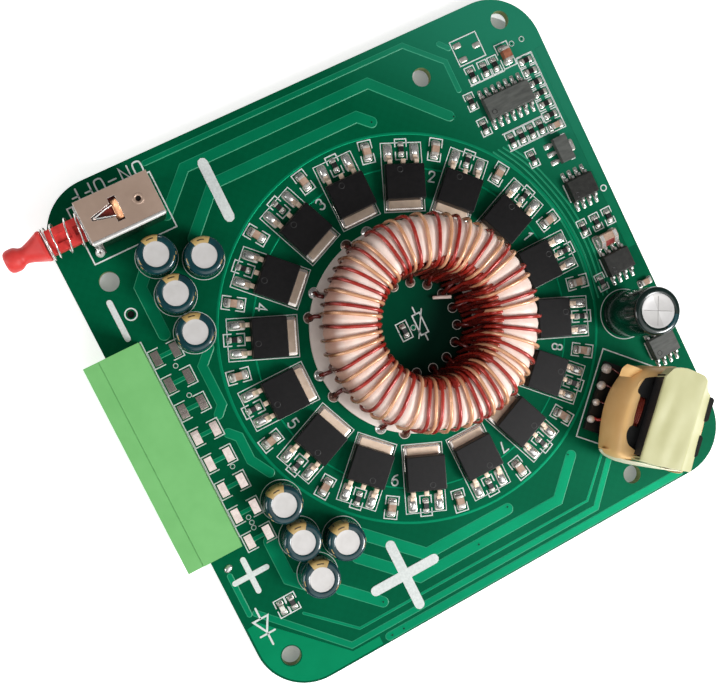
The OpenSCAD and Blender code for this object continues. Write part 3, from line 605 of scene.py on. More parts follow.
trace([(-23.5, 39.8), (20, 39.8), (25.2, 34.8), (25.2, 30)], 0.9)
trace([(-24, 31.6), (-18.6, 36.8), (12.4, 36.8), (22, 27)], 1.7)
trace([(-22, 26.8), (-15.8, 32.9), (8.5, 32.9), (10.3, 31.2)], 1.8)
trace([(-19.5, -24.2), (-11.7, -32), (2.9, -32)], 1.9)
trace([(-21.5, -27.3), (-14.2, -34.7), (10.9, -34.7), (16, -29.4)], 1.8)
trace([(-32.5, -30.8), (-26, -37.1), (15.2, -37.1), (21, -31.3)], 0.45)
trace([(-38.8, -27.3), (-28.2, -38.8), (16, -38.8), (21.5, -32.8)], 1.05)
trace([(-22.5, -40.45), (31.2, -40.45)], 1.35)
trace([(-26, -30.3), (-21, -35.3)], 1.7)
trace([(-32.1, -18.7), (-32.1, -25), (-30, -27.2)], 2.1)
trace([(-39.7, -20.5), (-39.7, -27)], 0.9)
trace([(-32.2, 16), (-32.2, 23.7), (-30.5, 25.5)], 1.9)
trace([(-27.2, 11.3), (-29.3, 9.3), (-29.3, 2.9), (-30.4, 1.8)], 1.5)
trace([(-30.4, -1.3), (-29.2, -2.6), (-29.2, -6.5), (-27.5, -9.5)], 1.5)
trace([(25.5, 37.7), (26.6, 36.5)], 0.9)
for k, off in enumerate((0.0, 0.9, 1.8, 2.6)):
    trace([(x + off, y) for x, y in soften([(26, 19), (28.5, 15), (30.2, 10), (31.3, 5.5), (31.7, 0), (31.4, -4), (30.6, -9)], 2)], 0.27)
# copper area in the lower left corner, in two halves that clear the mounting hole
pour([(-44.65, -31.4), (-42.7, -31.2), (-40.25, -33.71)] + arc(-40.25, -38.75, 1.8, 90, 270, 16) + arc(-36, -36, 8.65, 240.57, 180, 12))
pour([(-40.25, -33.71), (-31.0, -43.2), (-26.0, -43.2), (-26.0, -44.65)] + arc(-36, -36, 8.65, 270, 240.57, 8) + arc(-40.25, -38.75, 1.8, -90, 90, 16))
prism(pours, [(43.1, 33.5), (43.1, -4.5), (44.65, -4.5), (44.65, 33.5)], -0.01, 0.032, None, 1)
for i in range(8):
    y = 14.5 - 4.76 * i
    trace([(-37.6, y), (-34.9, y)], 0.75, True)
strip(traces, circle(RING[0], RING[1], 32.7, 160), 0.5, -0.01, 0.055, 0.12, True)
for i in range(16):
    a0 = 22.5 * i
    strip(traces, arc(RING[0], RING[1], 26.9, a0 + 7.6, a0 + 14.9, 6), 0.3, -0.01, 0.045, 0.08)

# print: rings, boxes, signs and numbers
DIGIT = {
    "1": [[(0.1, 0.78), (0.32, 1.0), (0.32, 0.0)]],
    "2": [soften([(0.02, 0.74), (0.06, 0.94), (0.3, 1.02), (0.54, 0.94), (0.58, 0.72), (0.44, 0.5), (0.02, 0.0)]), [(0.02, 0.0), (0.6, 0.0)]],
    "3": [soften([(0.03, 0.86), (0.14, 1.0), (0.42, 1.02), (0.58, 0.84), (0.5, 0.58), (0.26, 0.54)]),
          soften([(0.26, 0.54), (0.54, 0.5), (0.62, 0.24), (0.48, 0.0), (0.18, -0.02), (0.02, 0.14)])],
    "4": [[(0.45, 0.0), (0.45, 1.0), (0.0, 0.3), (0.62, 0.3)]],
    "5": [[(0.55, 1.0), (0.1, 1.0), (0.05, 0.54)], soften([(0.05, 0.54), (0.28, 0.66), (0.56, 0.58), (0.62, 0.28), (0.48, 0.0), (0.2, -0.02), (0.02, 0.12)])],
    "6": [soften([(0.5, 1.0), (0.2, 0.86), (0.02, 0.5), (0.02, 0.14), (0.2, -0.02), (0.46, -0.02), (0.62, 0.16), (0.6, 0.44), (0.42, 0.58), (0.16, 0.54), (0.03, 0.34)])],
    "7": [[(0.02, 1.0), (0.6, 1.0), (0.22, 0.0)]],
    "8": [soften([(0.3, 0.54), (0.08, 0.6), (0.04, 0.86), (0.18, 1.02), (0.42, 1.02), (0.56, 0.86), (0.52, 0.6), (0.3, 0.54), (0.04, 0.44), (0.0, 0.14), (0.16, -0.02), (0.44, -0.02), (0.6, 0.14), (0.56, 0.44), (0.3, 0.54)])],
    "O": [soften([(0.3, 1.0), (0.1, 1.0), (0.0, 0.8), (0.0, 0.2), (0.1, 0.0), (0.5, 0.0), (0.6, 0.2), (0.6, 0.8), (0.5, 1.0), (0.3, 1.0)], 1)],
    "N": [[(0.0, 0.0), (0.0, 1.0), (0.6, 0.0), (0.6, 1.0)]],
    "F": [[(0.0, 0.0), (0.0, 1.0), (0.58, 1.0)], [(0.0, 0.54), (0.44, 0.54)]],
    "-": [[(0.05, 0.5), (0.6, 0.5)]],
}


def write(chars, x, y, deg, h, w, gap=0.32):
    T = rot(x, y, deg)
    total = len(chars) * 0.6 + (len(chars) - 1) * gap
    for k, ch in enumerate(chars):
        ox = -total / 2 + k * (0.6 + gap)
        for st in DIGIT[ch]:
            line([((px + ox) * h, (py - 0.5) * h) for px, py in st], w, False, T)


for k in range(8):
    a = 11.25 + 45 * k
    write(str(k + 1), RING[0] + 25.7 * math.cos(math.radians(a)), RING[1] + 25.7 * math.sin(math.radians(a)), a + 90 if k in (3, 4, 5) else a - 90, 1.75, 0.27)
write("ON-OFF", -32.4, 43.0, 180, 2.3, 0.28, 0.36)
line([(-40.5, 25.7), (-40.5, 19.3)], 1.0)
line([(-17.2, 39.5), (-17.2, 29.9)], 1.75)
for cx, cy, half, w in ((-40.2, -23.8, 2.85, 0.95), (-17.6, -36.2, 5.55, 1.75)):
    strip(silk, [(cx - half, cy), (cx + half, cy)], w, -0.005, 0.095, 0.02, cap=8)
    strip(silk, [(cx, cy - half), (cx, cy + half)], w, -0.005, 0.085, 0.02, cap=8)
# diode symbol beside the indicator, resistor symbol beside the sensor
line([(-43.3, -30.9), (-40.7, -30.9), (-42.0, -33.3)], 0.34, True)
line([(-43.3, -33.6), (-40.7, -33.6)], 0.34)
line([(-42.0, -29.0), (-42.0, -30.8)], 0.34)
line([(-42.0, -33.7), (-42.0, -35.6)], 0.34)
line([(2.9, 2.0), (4.3, 2.0), (4.3, -1.6), (2.9, -1.6)], 0.26, True)
line([(3.6, 2.0), (3.6, 3.3)], 0.26)
line([(3.6, -1.6), (3.6, -2.8)], 0.26)
line([(2.3, -1.9), (4.9, 2.4)], 0.22)

for i in range(16):
    T = rot(RING[0], RING[1], 22.5 * i)
    line([(19.5, -3.48), (31.1, -3.48), (31.1, 3.48), (19.5, 3.48)], 0.15, True, T)
    for s in (-1, 1):
        line([(30 + s * 0.45, -0.98), (30 + s * 1.72, -0.98), (30 + s * 1.72, 0.98), (30 + s * 0.45, 0.98)], 0.2, False, T)
    Tc = rot(RING[0], RING[1], 22.5 * i + 11.25)
    for s in (-1, 1):
        line([(30.3 + s * 0.5, -1.1), (30.3 + s * 1.9, -1.1), (30.3 + s * 1.9, 1.1), (30.3 + s * 0.5, 1.1)], 0.2, False, Tc)
        pillow(pads, 30.3 + s * 1.0, 0, 1.25, 1.5, 0.09, 0, Tc, n=16, rings=2)
        pillow(solder, 30.3 + s * 1.25, 0, 0.55, 1.25, 0.36, 0, Tc, n=14, rings=3, lean=(-s * 0.14, 0))
        pillow(pads, 30 + s * 0.85, 0, 0.95, 1.05, 0.09, 0, T, n=16, rings=2)
        pillow(solder, 30 + s * 0.95, 0, 0.55, 0.9, 0.32, 0, T, n=14, rings=3, lean=(-s * 0.12, 0))
    pillow(rims, 22.1, 0, 4.95, 6.5, 0.16, 0, T, n=32, e=12, rings=3, top=0.8)
    for y in (-2.29, 2.29):
        pillow(pads, 29.5, y, 2.9, 1.55, 0.1, 0, T, n=20, e=7, rings=2)
        pillow(solder, 29.75, y, 2.1, 1.3, 0.66, 0, T, n=18, e=3.2, rings=4, lean=(rnd.uniform(-0.1, 0.1), rnd.uniform(-0.06, 0.06)))

for x, y in ((-30.6, 29), (-30.6, 22.25), (-30.6, 15.5), (-24, 25.6), (-30.4, -15.25), (-30.4, -22), (-30.4, -28.75), (-24.1, -25.4)):
    line(circle(x, y, 3.42, 40), 0.12, True)
line(circle(37.25, -14.5, 4.35, 48), 0.14, True)

# terminal side: line beside the header, link pads and their brackets
line([(-39.8, 17.9), (-38.95, 17.9), (-38.95, -17.3), (-39.8, -17.3)], 0.2)
for i in range(8):
    y = 14.5 - 4.76 * i
    for x, s in ((-37.9, -1), (-34.6, 1)):
        line([(x - s * 0.88, y + 1.5), (x + s * 0.95, y + 1.5), (x + s * 0.95, y - 1.5), (x - s * 0.88, y - 1.5)], 0.19)
for x, y in ((-35.7, 12.1), (-35.9, 6.9), (-34.9, -6.6), (-36.3, -15.2), (-36.2, -16.2), (-36.3, -17.1)):
    via(x, y, 0.24, True)
pillow(solder, -42.9, -21.1, 1.5, 1.1, 0.35, 25, n=18, e=2.4)
for x, y in ((3.27, -34.5), (-4.03, -37.8), (17, -31.6), (-24, -44.1), (-21.8, -44.1), (-22.9, -38.4), (39.6, 36), (41.6, 36), (24.6, 29.0), (11.2, 34.0)):
    via(x, y, 0.3, x > 38)
via(RING[0], RING[1], 0.3, True)
# painted shade: a dark plug in the spare hole
lathe(holes, [(0.0, -0.35), (0.61, -0.35), (0.61, -0.9), (0.0, -0.9)], -38.3, 22.6, 24, None, 0, False)
strip(silk, circle(-38.3, 22.6, 0.95, 28), 0.22, -0.005, 0.07, 0.0, True)
annulus(silk, 43.7, 6.8, 0.42, 0.62, -0.005, 0.07, 20, ch=0.0)
line([(-39.75, 32.1), (-25.5, 32.1), (-25.5, 41.8), (-39.75, 41.8)], 0.24, True)

# small chips: pads, fillets and print brackets
RES = [(30.7, 34, 90), (33.2, 34, 90), (35.2, 34, 90), (28.5, 30, 90), (28.75, 25.2, 90), (32.2, 21.1, 90), (34.1, 21.1, 90),
       (36.1, 21.1, 90), (38, 21.1, 90), (40.6, 32.4, 0), (40.6, 30.4, 0), (40.6, 28.3, 0), (40.6, 26.3, 0), (40.6, 24.3, 0),
       (40.6, 22.2, 0), (34.2, 16.8, 90), (37.2, 2.1, 90), (39.8, 2.1, 90), (42.3, 2.1, 90), (36, -7.7, 90), (-36.2, -31, 90)]
CAPS = [(37.7, 34.7, 90), (40.6, 20.2, 0), (43.3, -11.2, 0)]
SENSOR, LED = (0.6, 0.35, 90), (-38.1, -31, 90)


def two_pads(x, y, deg, half, lx, ly, h):
    T = rot(x, y, deg)
    for s in (-1, 1):
        pillow(pads, s * (half + 0.12), 0, lx, ly + 0.25, 0.09, 0, T, n=16, rings=2)
        pillow(solder, s * (half + 0.18), 0, lx * 0.62, ly, h, 0, T, n=14, rings=3, lean=(-s * 0.14, 0))


def brackets(x, y, deg, hl, hw, gap, w=0.2):
    T = rot(x, y, deg)
    for s in (-1, 1):
        line([(s * gap, -hw), (s * hl, -hw), (s * hl, hw), (s * gap, hw)], w, False, T)


for x, y, d in RES:
    two_pads(x, y, d, 0.72, 0.85, 0.85, 0.34)
    brackets(x, y, d, 1.5, 0.86, 0.45)
for x, y, d in CAPS[1:]:
    two_pads(x, y, d, 0.85, 0.95, 1.1, 0.5)
two_pads(*CAPS[0], 1.1, 1.0, 1.5, 0.7)
brackets(37.7, 34.7, 90, 2.15, 1.2, 0.5)
two_pads(*SENSOR, 0.72, 0.85, 0.85, 0.4)
brackets(*SENSOR, 1.55, 0.95, -0.0)
two_pads(*LED, 0.72, 0.85, 0.85, 0.3)
brackets(*LED, 1.5, 0.9, 0.3)
line([(29.5, 36.1), (34.5, 36.1), (34.5, 40.5), (29.5, 40.5)], 0.2, True)
for x, y in ((30.5, 39.5), (30.5, 36.95), (33.75, 38.3)):
    pillow(pads, x, y, 1.5, 1.0, 0.16, 0, n=18, e=5, rings=3)
line([(29.7, 32.35), (36.4, 32.35)], 0.2)
line([(39.15, 33.4), (42.2, 33.4), (42.2, 19.3), (39.15, 19.3)], 0.2)
line([(31.1, 22.7), (39.1, 22.7)], 0.2)
line([(31.1, 19.5), (39.1, 19.5)], 0.2)

for cx, cy, n in ((34.4, 27.55, 7), (39.75, 8.7, 4), (40, -5.7, 4), (41, -22.4, 4)):
    for side in (-1, 1):
        for k in range(n):
            x = cx + (k - (n - 1) / 2) * 1.27
            pillow(pads, x, cy + side * 2.75, 0.7, 1.7, 0.08, 0, n=14, e=6, rings=2)
            pillow(solder, x, cy + side * 2.98, 0.62, 1.05, 0.3, 0, n=12, e=3.5, rings=3, lean=(0, -side * 0.12))
    if n == 4:
        line([(cx - 2.62, cy - 1.6), (cx - 2.62, cy + 1.6)], 0.2)
for y in (-1.5, 0.0, 1.5):
    pillow(pads, 39.6 - 2.0, 16 + y, 1.5, 0.85, 0.08, 0, n=14, e=6, rings=2)
    pillow(solder, 39.6 - 2.15, 16 + y, 0.8, 0.6, 0.4, 0, n=12, e=3, rings=3)
pillow(pads, 39.6 + 1.8, 16, 1.5, 2.1, 0.08, 0, n=16, e=6, rings=2)
pillow(solder, 39.6 + 2.0, 16, 0.7, 1.5, 0.38, 0, n=14, e=3, rings=3)
for s in (-1, 1):
    line([(41.3, 16 + s * 1.6), (41.3, 16 + s * 2.3), (40.6, 16 + s * 2.3)], 0.2)
    pillow(pads, 40 + s * 1.65, -1.35, 1.3, 2.7, 0.1, 0, n=18, e=6, rings=2)
    pillow(solder, 40 + s * 1.8, -1.35, 0.7, 2.3, 0.8, 0, n=16, e=3.5, rings=4, lean=(-s * 0.2, 0))

# transformer box print
line(un([(21.2, -30.1), (18.2, -27.1), (28.5, -16.7), (36.6, -24.8)]), 0.22)
# winding pads on the board
PAD_OUT = [(RING[0] + 17.7 * math.cos(math.radians(45 * k + a)), RING[1] + 17.7 * math.sin(math.radians(45 * k + a)), 45 * k + a) for k in range(8) for a in (0, 13.5)]
PAD_IN = [(RING[0] + 7.6 * math.cos(math.radians(22.5 * k)), RING[1] + 7.6 * math.sin(math.radians(22.5 * k)), 22.5 * k) for k in range(16)]
for x, y, a in PAD_OUT:
    annulus(pads, x, y, 0.55, 1.02, -0.005, 0.1, 24, ch=0.03)
for x, y, a in PAD_IN:
    annulus(pads, x, y, 0.55, 0.86, -0.005, 0.1, 24, ch=0.03)

piece("tracks", traces, [TRACE, TRACE_EDGE_HIGHLIGHT])
piece("pour_areas", pours, [POUR, POUR2])
# painted shadow: the board inside the bore is covered by a darker mask, for the shade of the ring
bore = Col()
lathe(bore, [(0.0, 0.02), (9.3, 0.02), (9.6, -0.01), (0.0, -0.01)], COIL[0], COIL[1], 64, None, 0, False)
piece("bore_painted_shadow", bore, [BORE_SHADOW])
piece("print", silk, [SILK])
piece("tab_solder", rims, [RIM], smooth=40)
piece("pads_tinned", pads, [TIN], smooth=40)
piece("solder_fillets", solder, [SOLDER], smooth=50)
piece("via_holes", holes, [HOLE_SHADE_AND_BLACK])
refined("link_pads", [LINK], bevel=0.04, segs=2)


# ------------------------------------------------------------------ transistors and chips
refined("transistor_bodies", [EPOXY], bevel=0.16, segs=2)
refined("transistor_frames", [TAB], bevel=0.06, segs=2)
marks = Col()
for i in range(16):
    T = rot(RING[0], RING[1], 22.5 * i)
    lathe(marks, [(0.0, 2.27), (0.36, 2.27), (0.42, 2.312), (0.5, 2.312), (0.56, 2.27)], 26.3, 0.9, 24, T, 0, True)
for x, y, z in ((34.4 - 3.4, 27.55 - 0.9, 1.55), (39.75 - 1.5, 8.7 - 0.9, 1.55), (40 - 1.5, -5.7 - 0.9, 1.55), (41 - 1.5, -22.4 - 0.9, 1.55)):
    lathe(marks, [(0.0, z - 0.03), (0.32, z - 0.03), (0.36, z + 0.018), (0.46, z + 0.018), (0.5, z - 0.03)], x, y, 22, None, 0, True)
piece("mould_marks", marks, [EPOXY_MARK])
refined("controller_body", [EPOXY_G], bevel=0.12, segs=2)
refined("regulator_body", [EPOXY_G], bevel=0.12, segs=2)
refined("driver_bodies", [EPOXY_M, EPOXY_G], bevel=0.12, segs=2, pick=lambda c, n: 1 if c[1] < -15 else 0)
for node in ("controller_leads", "driver_leads", "regulator_leads"):
    refined(node, [LEAD], bevel=0.04, segs=1)
for node in ("gate_resistor_bodies", "chip_resistor_bodies", "sensor_body"):
    refined(node, [RESIST], bevel=0.05, segs=1)
for node in ("gate_resistor_ends", "chip_resistor_ends", "sensor_ends", "ring_capacitor_ends", "chip_capacitor_ends", "indicator_ends"):
    refined(node, [END], bevel=0.06, segs=2)
refined("ring_capacitor_bodies", [MLCC], bevel=0.07, segs=2)
refined("chip_capacitor_bodies", [MLCC, MLCC2], bevel=0.07, segs=2, pick=lambda c, n: 1 if c[1] > 30 else 0)
refined("indicator_body", [LENS], bevel=0.12, segs=2)

# large chip: bright ends, a tan top and a darker sloping front face
big = Col()
for x0, x1, mm in ((-1.7, -0.9, 1), (-0.9, 0.9, 0), (0.9, 1.7, 1)):
    g = 0.05 if mm == 0 else 0.0
    poly = [(-1.2 + g, 0.0), (1.2 - g, 0.0), (1.2 - g, 1.75 - g), (1.05 - g, 1.9 - g), (-0.15, 1.9 - g), (-0.95 + g, 1.25 - g), (-1.2 + g, 0.95 - g)]
    n = len(poly)
    v = [(x0, p[0], p[1]) for p in poly] + [(x1, p[0], p[1]) for p in poly]
    fs = [tuple(range(n)), tuple(range(2 * n - 1, n - 1, -1))] + [(i, n + i, n + (i + 1) % n, (i + 1) % n) for i in range(n)]
    o = len(big.f)
    big.put(v, fs, rot(40, -1.35, 0), mm)
    if mm == 0:
        big.m[o + 2 + 4] = 2
        big.m[o + 2 + 5] = 2
piece("large_chip", big, [MLCC, LEAD, MLCC3], rep=("large_chip_body", "large_chip_ends"), bevel=0.06, segs=2)

# ------------------------------------------------------------------ choke
ring = refined("choke_base_ring", [BASE], bevel=0.12, segs=2, flat=0.2)
CR, CA, CB, CZ, CE = 13.4, 4.4, 4.35, 5.8, 3.3


def section(t, a, b, e=CE):
    ct, st = math.cos(t), math.sin(t)
    if ct > 0 and st > 0:
        e = CE - 0.7
    return CR + math.copysign(abs(ct) ** (2 / e), ct) * a, CZ + math.copysign(abs(st) ** (2 / e), st) * b


def lean(x, y, z):
    # the coil stands a little askew: its top is shifted to the right
    s = 0.125 * max(0.0, z - 3.5)
    return x + 0.879 * s, y - 0.441 * s, z


def tone_fade(m, tone, *ranges):
    """Mix a tone into a material; a range has a direction, two places along it in board mm and the share at each."""
    N, L = m.node_tree.nodes, m.node_tree.links
    base = N["Principled BSDF"].inputs["Base Color"]
    src = base.links[0].from_socket
    tc = N.new("ShaderNodeTexCoord")
    fac = N.new("ShaderNodeMath")
    fac.operation = "MULTIPLY"
    fac.inputs[1].default_value = 1.0
    for k, (way, a, b, lo, hi) in enumerate(ranges):
        dt = N.new("ShaderNodeVectorMath")
        dt.operation = "DOT_PRODUCT"
        dt.inputs[1].default_value = way
        L.new(tc.outputs["Object"], dt.inputs[0])
        mr = N.new("ShaderNodeMapRange")
        mr.interpolation_type = "SMOOTHSTEP"
        mr.inputs["From Min"].default_value = (a + way[0] * SX + way[2] * ZB) * 0.001
        mr.inputs["From Max"].default_value = (b + way[0] * SX + way[2] * ZB) * 0.001
        mr.inputs["To Min"].default_value = lo
        mr.inputs["To Max"].default_value = hi
        L.new(dt.outputs["Value"], mr.inputs["Value"])
        L.new(mr.outputs["Result"], fac.inputs[k])
    mx = N.new("ShaderNodeMixRGB")
    L.new(fac.outputs["Value"], mx.inputs["Fac"])
    L.new(src, mx.inputs["Color1"])
    mx.inputs["Color2"].default_value = lin(tone)
    L.new(mx.outputs["Color"], base)


# painted shade: the wrap and the copper and red turns darken on the lower outer wall towards -x and +y, where the coil
# is in its own shade
LOW_SHADE = ((0, 0, 1), 8.1, 9.75, 1.0, 0.0)
LEFT_SHADE = ((-0.883, 0.469, 0), 3.8, 11.8, 0.0, 1.0)
# painted shadow: darker towards +x and -y inside the bore, where the wall of the ring shades it
RIGHT_SHADOW = ((0.667, -0.745, 0), -1.6, 5.6, 0.0, 1.0)
tone_fade(WRAP, (200, 154, 138), LOW_SHADE, LEFT_SHADE)
tone_fade(WIRE_C, (142, 86, 62), LOW_SHADE, LEFT_SHADE)
tone_fade(WIRE_R, (92, 20, 16), LOW_SHADE, LEFT_SHADE)
# painted light: the dark enamel turns lighter from 7.8 to 9.3 mm up, and the dark inner wrap from 8 to 9.5 mm, where
# the rim of the coil catches the light
tone_fade(WIRE_DARK_AND_SHADE, (178, 70, 52), ((0, 0, 1), 7.8, 9.3, 0.0, 1.0))
tone_fade(WRAP_INNER_WIRES_AND_SHADE, (206, 140, 120), ((0, 0, 1), 8.0, 9.5, 0.0, 1.0))
tone_fade(BORE_SHADOW, (10, 20, 15), RIGHT_SHADOW)
tone_fade(SOLDER_BORE_SHADOW, (40, 22, 18), RIGHT_SHADOW)
# painted sheen: the mask, pours and tracks are paler towards one corner, for a reflection there
CORNER_SHEEN = ((0.8, 0.6, 0), 28.0, 58.0, 0.0, 0.8)
TOP = ((0, 0, 1), -0.4, -0.1, 0.0, 1.0)
tone_fade(MASK, (40, 130, 102), CORNER_SHEEN, TOP)
tone_fade(POUR2, (46, 136, 108), CORNER_SHEEN, TOP)
for m in (TRACE, TRACE_EDGE_HIGHLIGHT, POUR):
    tone_fade(m, (54, 152, 122), CORNER_SHEEN, TOP)
core = Col()
v, f = [], []
for i in range(96):
    a = 2 * math.pi * i / 96
    for j in range(24):
        r, z = section(2 * math.pi * j / 24, 3.1, 3.4)
        v.append(lean(COIL[0] + r * math.cos(a), COIL[1] + r * math.sin(a), z))
for i in range(96):
    for j in range(24):
        q, l = (i + 1) % 96, (j + 1) % 24
        f.append((i * 24 + j, q * 24 + j, q * 24 + l, i * 24 + l))
core.put(v, f, None, 0, True)
piece("choke_core_piece", core, [FERRITE], rep=("choke_core",))

# outer angles of the red turns, read from the photo; a copper turn lies in each gap
RED_AT = [5.9, 19.1, 31.7, 51.6, 63.7, 80.3, 98.8, 112.0, 130.8, 144.2, 156.2, 178.9, 192.7, 206.0, 219.8, 236.1, 243.2, 254.9, 273.4, 281.6, 292.5, 312.0, 337.4, 351.0]
turns = []
for i, a in enumerate(RED_AT):
    gap = (RED_AT[(i + 1) % 24] - a) % 360
    mid = 15.0 * i + 6.0
    turns.append((1, a, a * 0.55 + mid * 0.45))
    spots = [0.34, 0.68] if gap > 18 else [rnd.choice((0.4, 0.5, 0.66))]
    for k, q in enumerate(spots):
        o = a + gap * q + rnd.uniform(-0.7, 0.7)
        turns.append((0 if k == 0 else rnd.choice((0, 1)), o, o * 0.55 + (mid + 15.0 * q) * 0.45))
WR = 0.3


def turn_angle(turn, share):
    return turn[2] + (turn[1] - turn[2]) * share


wrap = Col()
NS, NW = 432, 40
v, f = [], []
for i in range(NS):
    a = 360.0 * i / NS
    for j in range(NW):
        t = 2 * math.pi * j / NW
        r0, z0 = section(t, CA, CB)
        share = min(max((r0 - (CR - CA)) / (2 * CA), 0), 1)
        near = min(abs((turn_angle(q, share) - a + 180) % 360 - 180) for q in turns)
        d = math.radians(near) * r0
        lap = 0.24 * (1 - math.exp(-(d / 0.75) ** 2))
        r, z = section(t, CA - 0.50 + lap, CB - 0.50 + lap)
        v.append(lean(COIL[0] + r * math.cos(math.radians(a)), COIL[1] + r * math.sin(math.radians(a)), z))
for i in range(NS):
    for j in range(NW):
        q, l = (i + 1) % NS, (j + 1) % NW
        f.append((i * NW + j, q * NW + j, q * NW + l, i * NW + l))
wrap.put(v, f, None, 0, True)
# painted shade: the inner wall of the wrap is dark red, for packed wires and shade; on the left the pale wrap goes
# further down the inner shoulder
wrap.m = [1 if 145 + 17 * math.cos(math.radians(360.0 * (k // NW) / NS - 145)) < 360.0 * ((k % NW) + 0.5) / NW < 300 else 0 for k in range(len(f))]
piece("choke_wrap_piece", wrap, [WRAP, WRAP_INNER_WIRES_AND_SHADE], rep=("choke_wrap",))

coils = {0: Col(), 1: Col()}
for turn in turns:
    wob, ph = rnd.uniform(0.1, 0.5), rnd.uniform(0, 6.28)
    lift = rnd.uniform(-0.04, 0.06)
    pts = []
    for j in range(48):
        t = 2 * math.pi * j / 48
        r, z = section(t, CA + lift, CB - 0.03 + lift)
        share = min(max((r - (CR - CA)) / (2 * CA), 0), 1)
        if z < CZ:
            share = share * (0.55 + 0.45 * max(0.0, (z - (CZ - CB)) / CB))
        ang = math.radians(turn_angle(turn, share) + wob * math.sin(2 * t + ph))
        pts.append(lean(COIL[0] + r * math.cos(ang), COIL[1] + r * math.sin(ang), z))
    tube(coils[turn[0]], pts, WR, 9, True)
piece("winding_copper_piece", coils[0], [WIRE_C], rep=("winding_copper",))
piece("winding_red_piece", coils[1], [WIRE_R], rep=("winding_red",))

# crowded turns on the inner wall, which lean in to the pads in the bore
inner = Col()
for k in range(84):
    a = math.radians(360.0 * k / 84 + rnd.uniform(-0.8, 0.8))
    b = a + math.radians(rnd.uniform(-3.0, 3.0))
    ca, sa, cb, sb = math.cos(a), math.sin(a), math.cos(b), math.sin(b)
    top = rnd.uniform(8.95, 9.25)
    foot = rnd.uniform(8.5, 9.0)
    wall = CR - CA + 0.05
    over = [(1.9, 9.0), (1.3, top + 0.1), (0.65, top - 0.15), (0.2, top - 1.0)]
    if math.cos(a - math.radians(145)) > 0.1:
        over = [(0.75, top - 0.95), (0.45, top - 0.8), (0.2, top - 1.2)]
    pts = [(COIL[0] + (wall + o) * ca, COIL[1] + (wall + o) * sa, z) for o, z in over]
    pts += [(COIL[0] + (wall - 0.05) * ca, COIL[1] + (wall - 0.05) * sa, 6.6), (COIL[0] * 0.9 + RING[0] * 0.1 + (wall - 0.15) * ca, COIL[1] + (wall - 0.15) * sa, 4.4),
           (COIL[0] * 0.55 + RING[0] * 0.45 + (wall - 0.35) * cb, COIL[1] + (wall - 0.35) * sb, 2.2), (RING[0] + foot * cb, RING[1] + foot * sb, 0.75), (RING[0] + (foot - 0.15) * cb, RING[1] + (foot - 0.15) * sb, 0.2)]
    # most inner turns take the dark enamel, which here is also painted shade
    tube(inner, [lean(*q) for q in pts], 0.31, 8, False, 0 if k % 5 else 1)
piece("winding_inner_turns", inner, [WIRE_DARK_AND_SHADE, WIRE_R])

leads, domes = Col(), Col()
for k, (x, y, a) in enumerate(PAD_OUT):
    d = math.hypot(COIL[0] - x, COIL[1] - y)
    ux, uy = (COIL[0] - x) / d, (COIL[1] - y) / d
    gap = max(d - (CR + CA), 0.15)
    side = rnd.uniform(-0.35, 0.35)
    pts = [(x, y, -1.5), (x, y, 0.1), (x, y, 0.5), (x + ux * 0.15, y + uy * 0.15, 0.9),
           (x + ux * gap * 0.6 - uy * side, y + uy * gap * 0.6 + ux * side, 1.35), (x + ux * (gap + 0.35) - uy * side, y + uy * (gap + 0.35) + ux * side, 2.2)]
    tube(leads, pts, 0.36, 10)
    h = 0.55 if k % 3 else 0.3
    lathe(domes, [(0.36, h), (0.48, h - 0.06), (0.62, h * 0.5), (0.78, 0.16), (0.9, 0.1), (0.9, -0.01), (0.3, -0.01), (0.3, h - 0.05), (0.36, h)], x, y, 22, None, k % 2, True)
for k, (x, y, a) in enumerate(PAD_IN):
    rr = math.hypot(x - COIL[0], y - COIL[1])
    ux, uy = (x - COIL[0]) / rr, (y - COIL[1]) / rr
    gap = max((CR - CA) - rr, 0.0)
    pts = [(x, y, -1.5), (x, y, 0.3), (x, y, 0.8), (x + ux * gap * 0.5, y + uy * gap * 0.5, 1.5), (x + ux * gap, y + uy * gap, 2.6)]
    tube(leads, pts, 0.36, 10)
    lathe(domes, [(0.36, 0.4), (0.46, 0.36), (0.58, 0.2), (0.72, 0.12), (0.8, 0.09), (0.8, -0.01), (0.3, -0.01), (0.3, 0.35), (0.36, 0.4)], x, y, 22, None, 2, True)
# one short bare end stands up in the bore
tube(leads, [(9.9, 2.1, 1.9), (9.5, 2.28, 1.3), (8.6, 2.7, 0.85), (7.4, 3.2, 0.62)], 0.3, 10, False, 1)
piece("winding_lead_ends", leads, [WIRE_DARK_AND_SHADE, WRAP], rep=("winding_leads",))
piece("winding_lead_solder", domes, [SOLDER, SOLDER_D, SOLDER_BORE_SHADOW], smooth=50)


# ------------------------------------------------------------------ electrolytic capacitors
def sleeve_profile(R, h):
    return [(R - 1.14, h - 0.03), (R - 1.1, h + 0.0), (R - 0.7, h + 0.02), (R - 0.42, h - 0.03), (R - 0.2, h - 0.13), (R - 0.07, h - 0.29),
            (R - 0.01, h - 0.5), (R, h - 0.9), (R, 1.85), (R - 0.05, 1.7), (R - 0.17, 1.5), (R - 0.22, 1.36), (R - 0.17, 1.2),
            (R - 0.05, 1.02), (R, 0.9), (R, 0.5), (R - 0.1, 0.4), (R - 0.4, 0.38), (R - 0.4, 0.6), (R - 0.4, h - 0.6), (R - 1.14, h - 0.6), (R - 1.14, h - 0.03)]


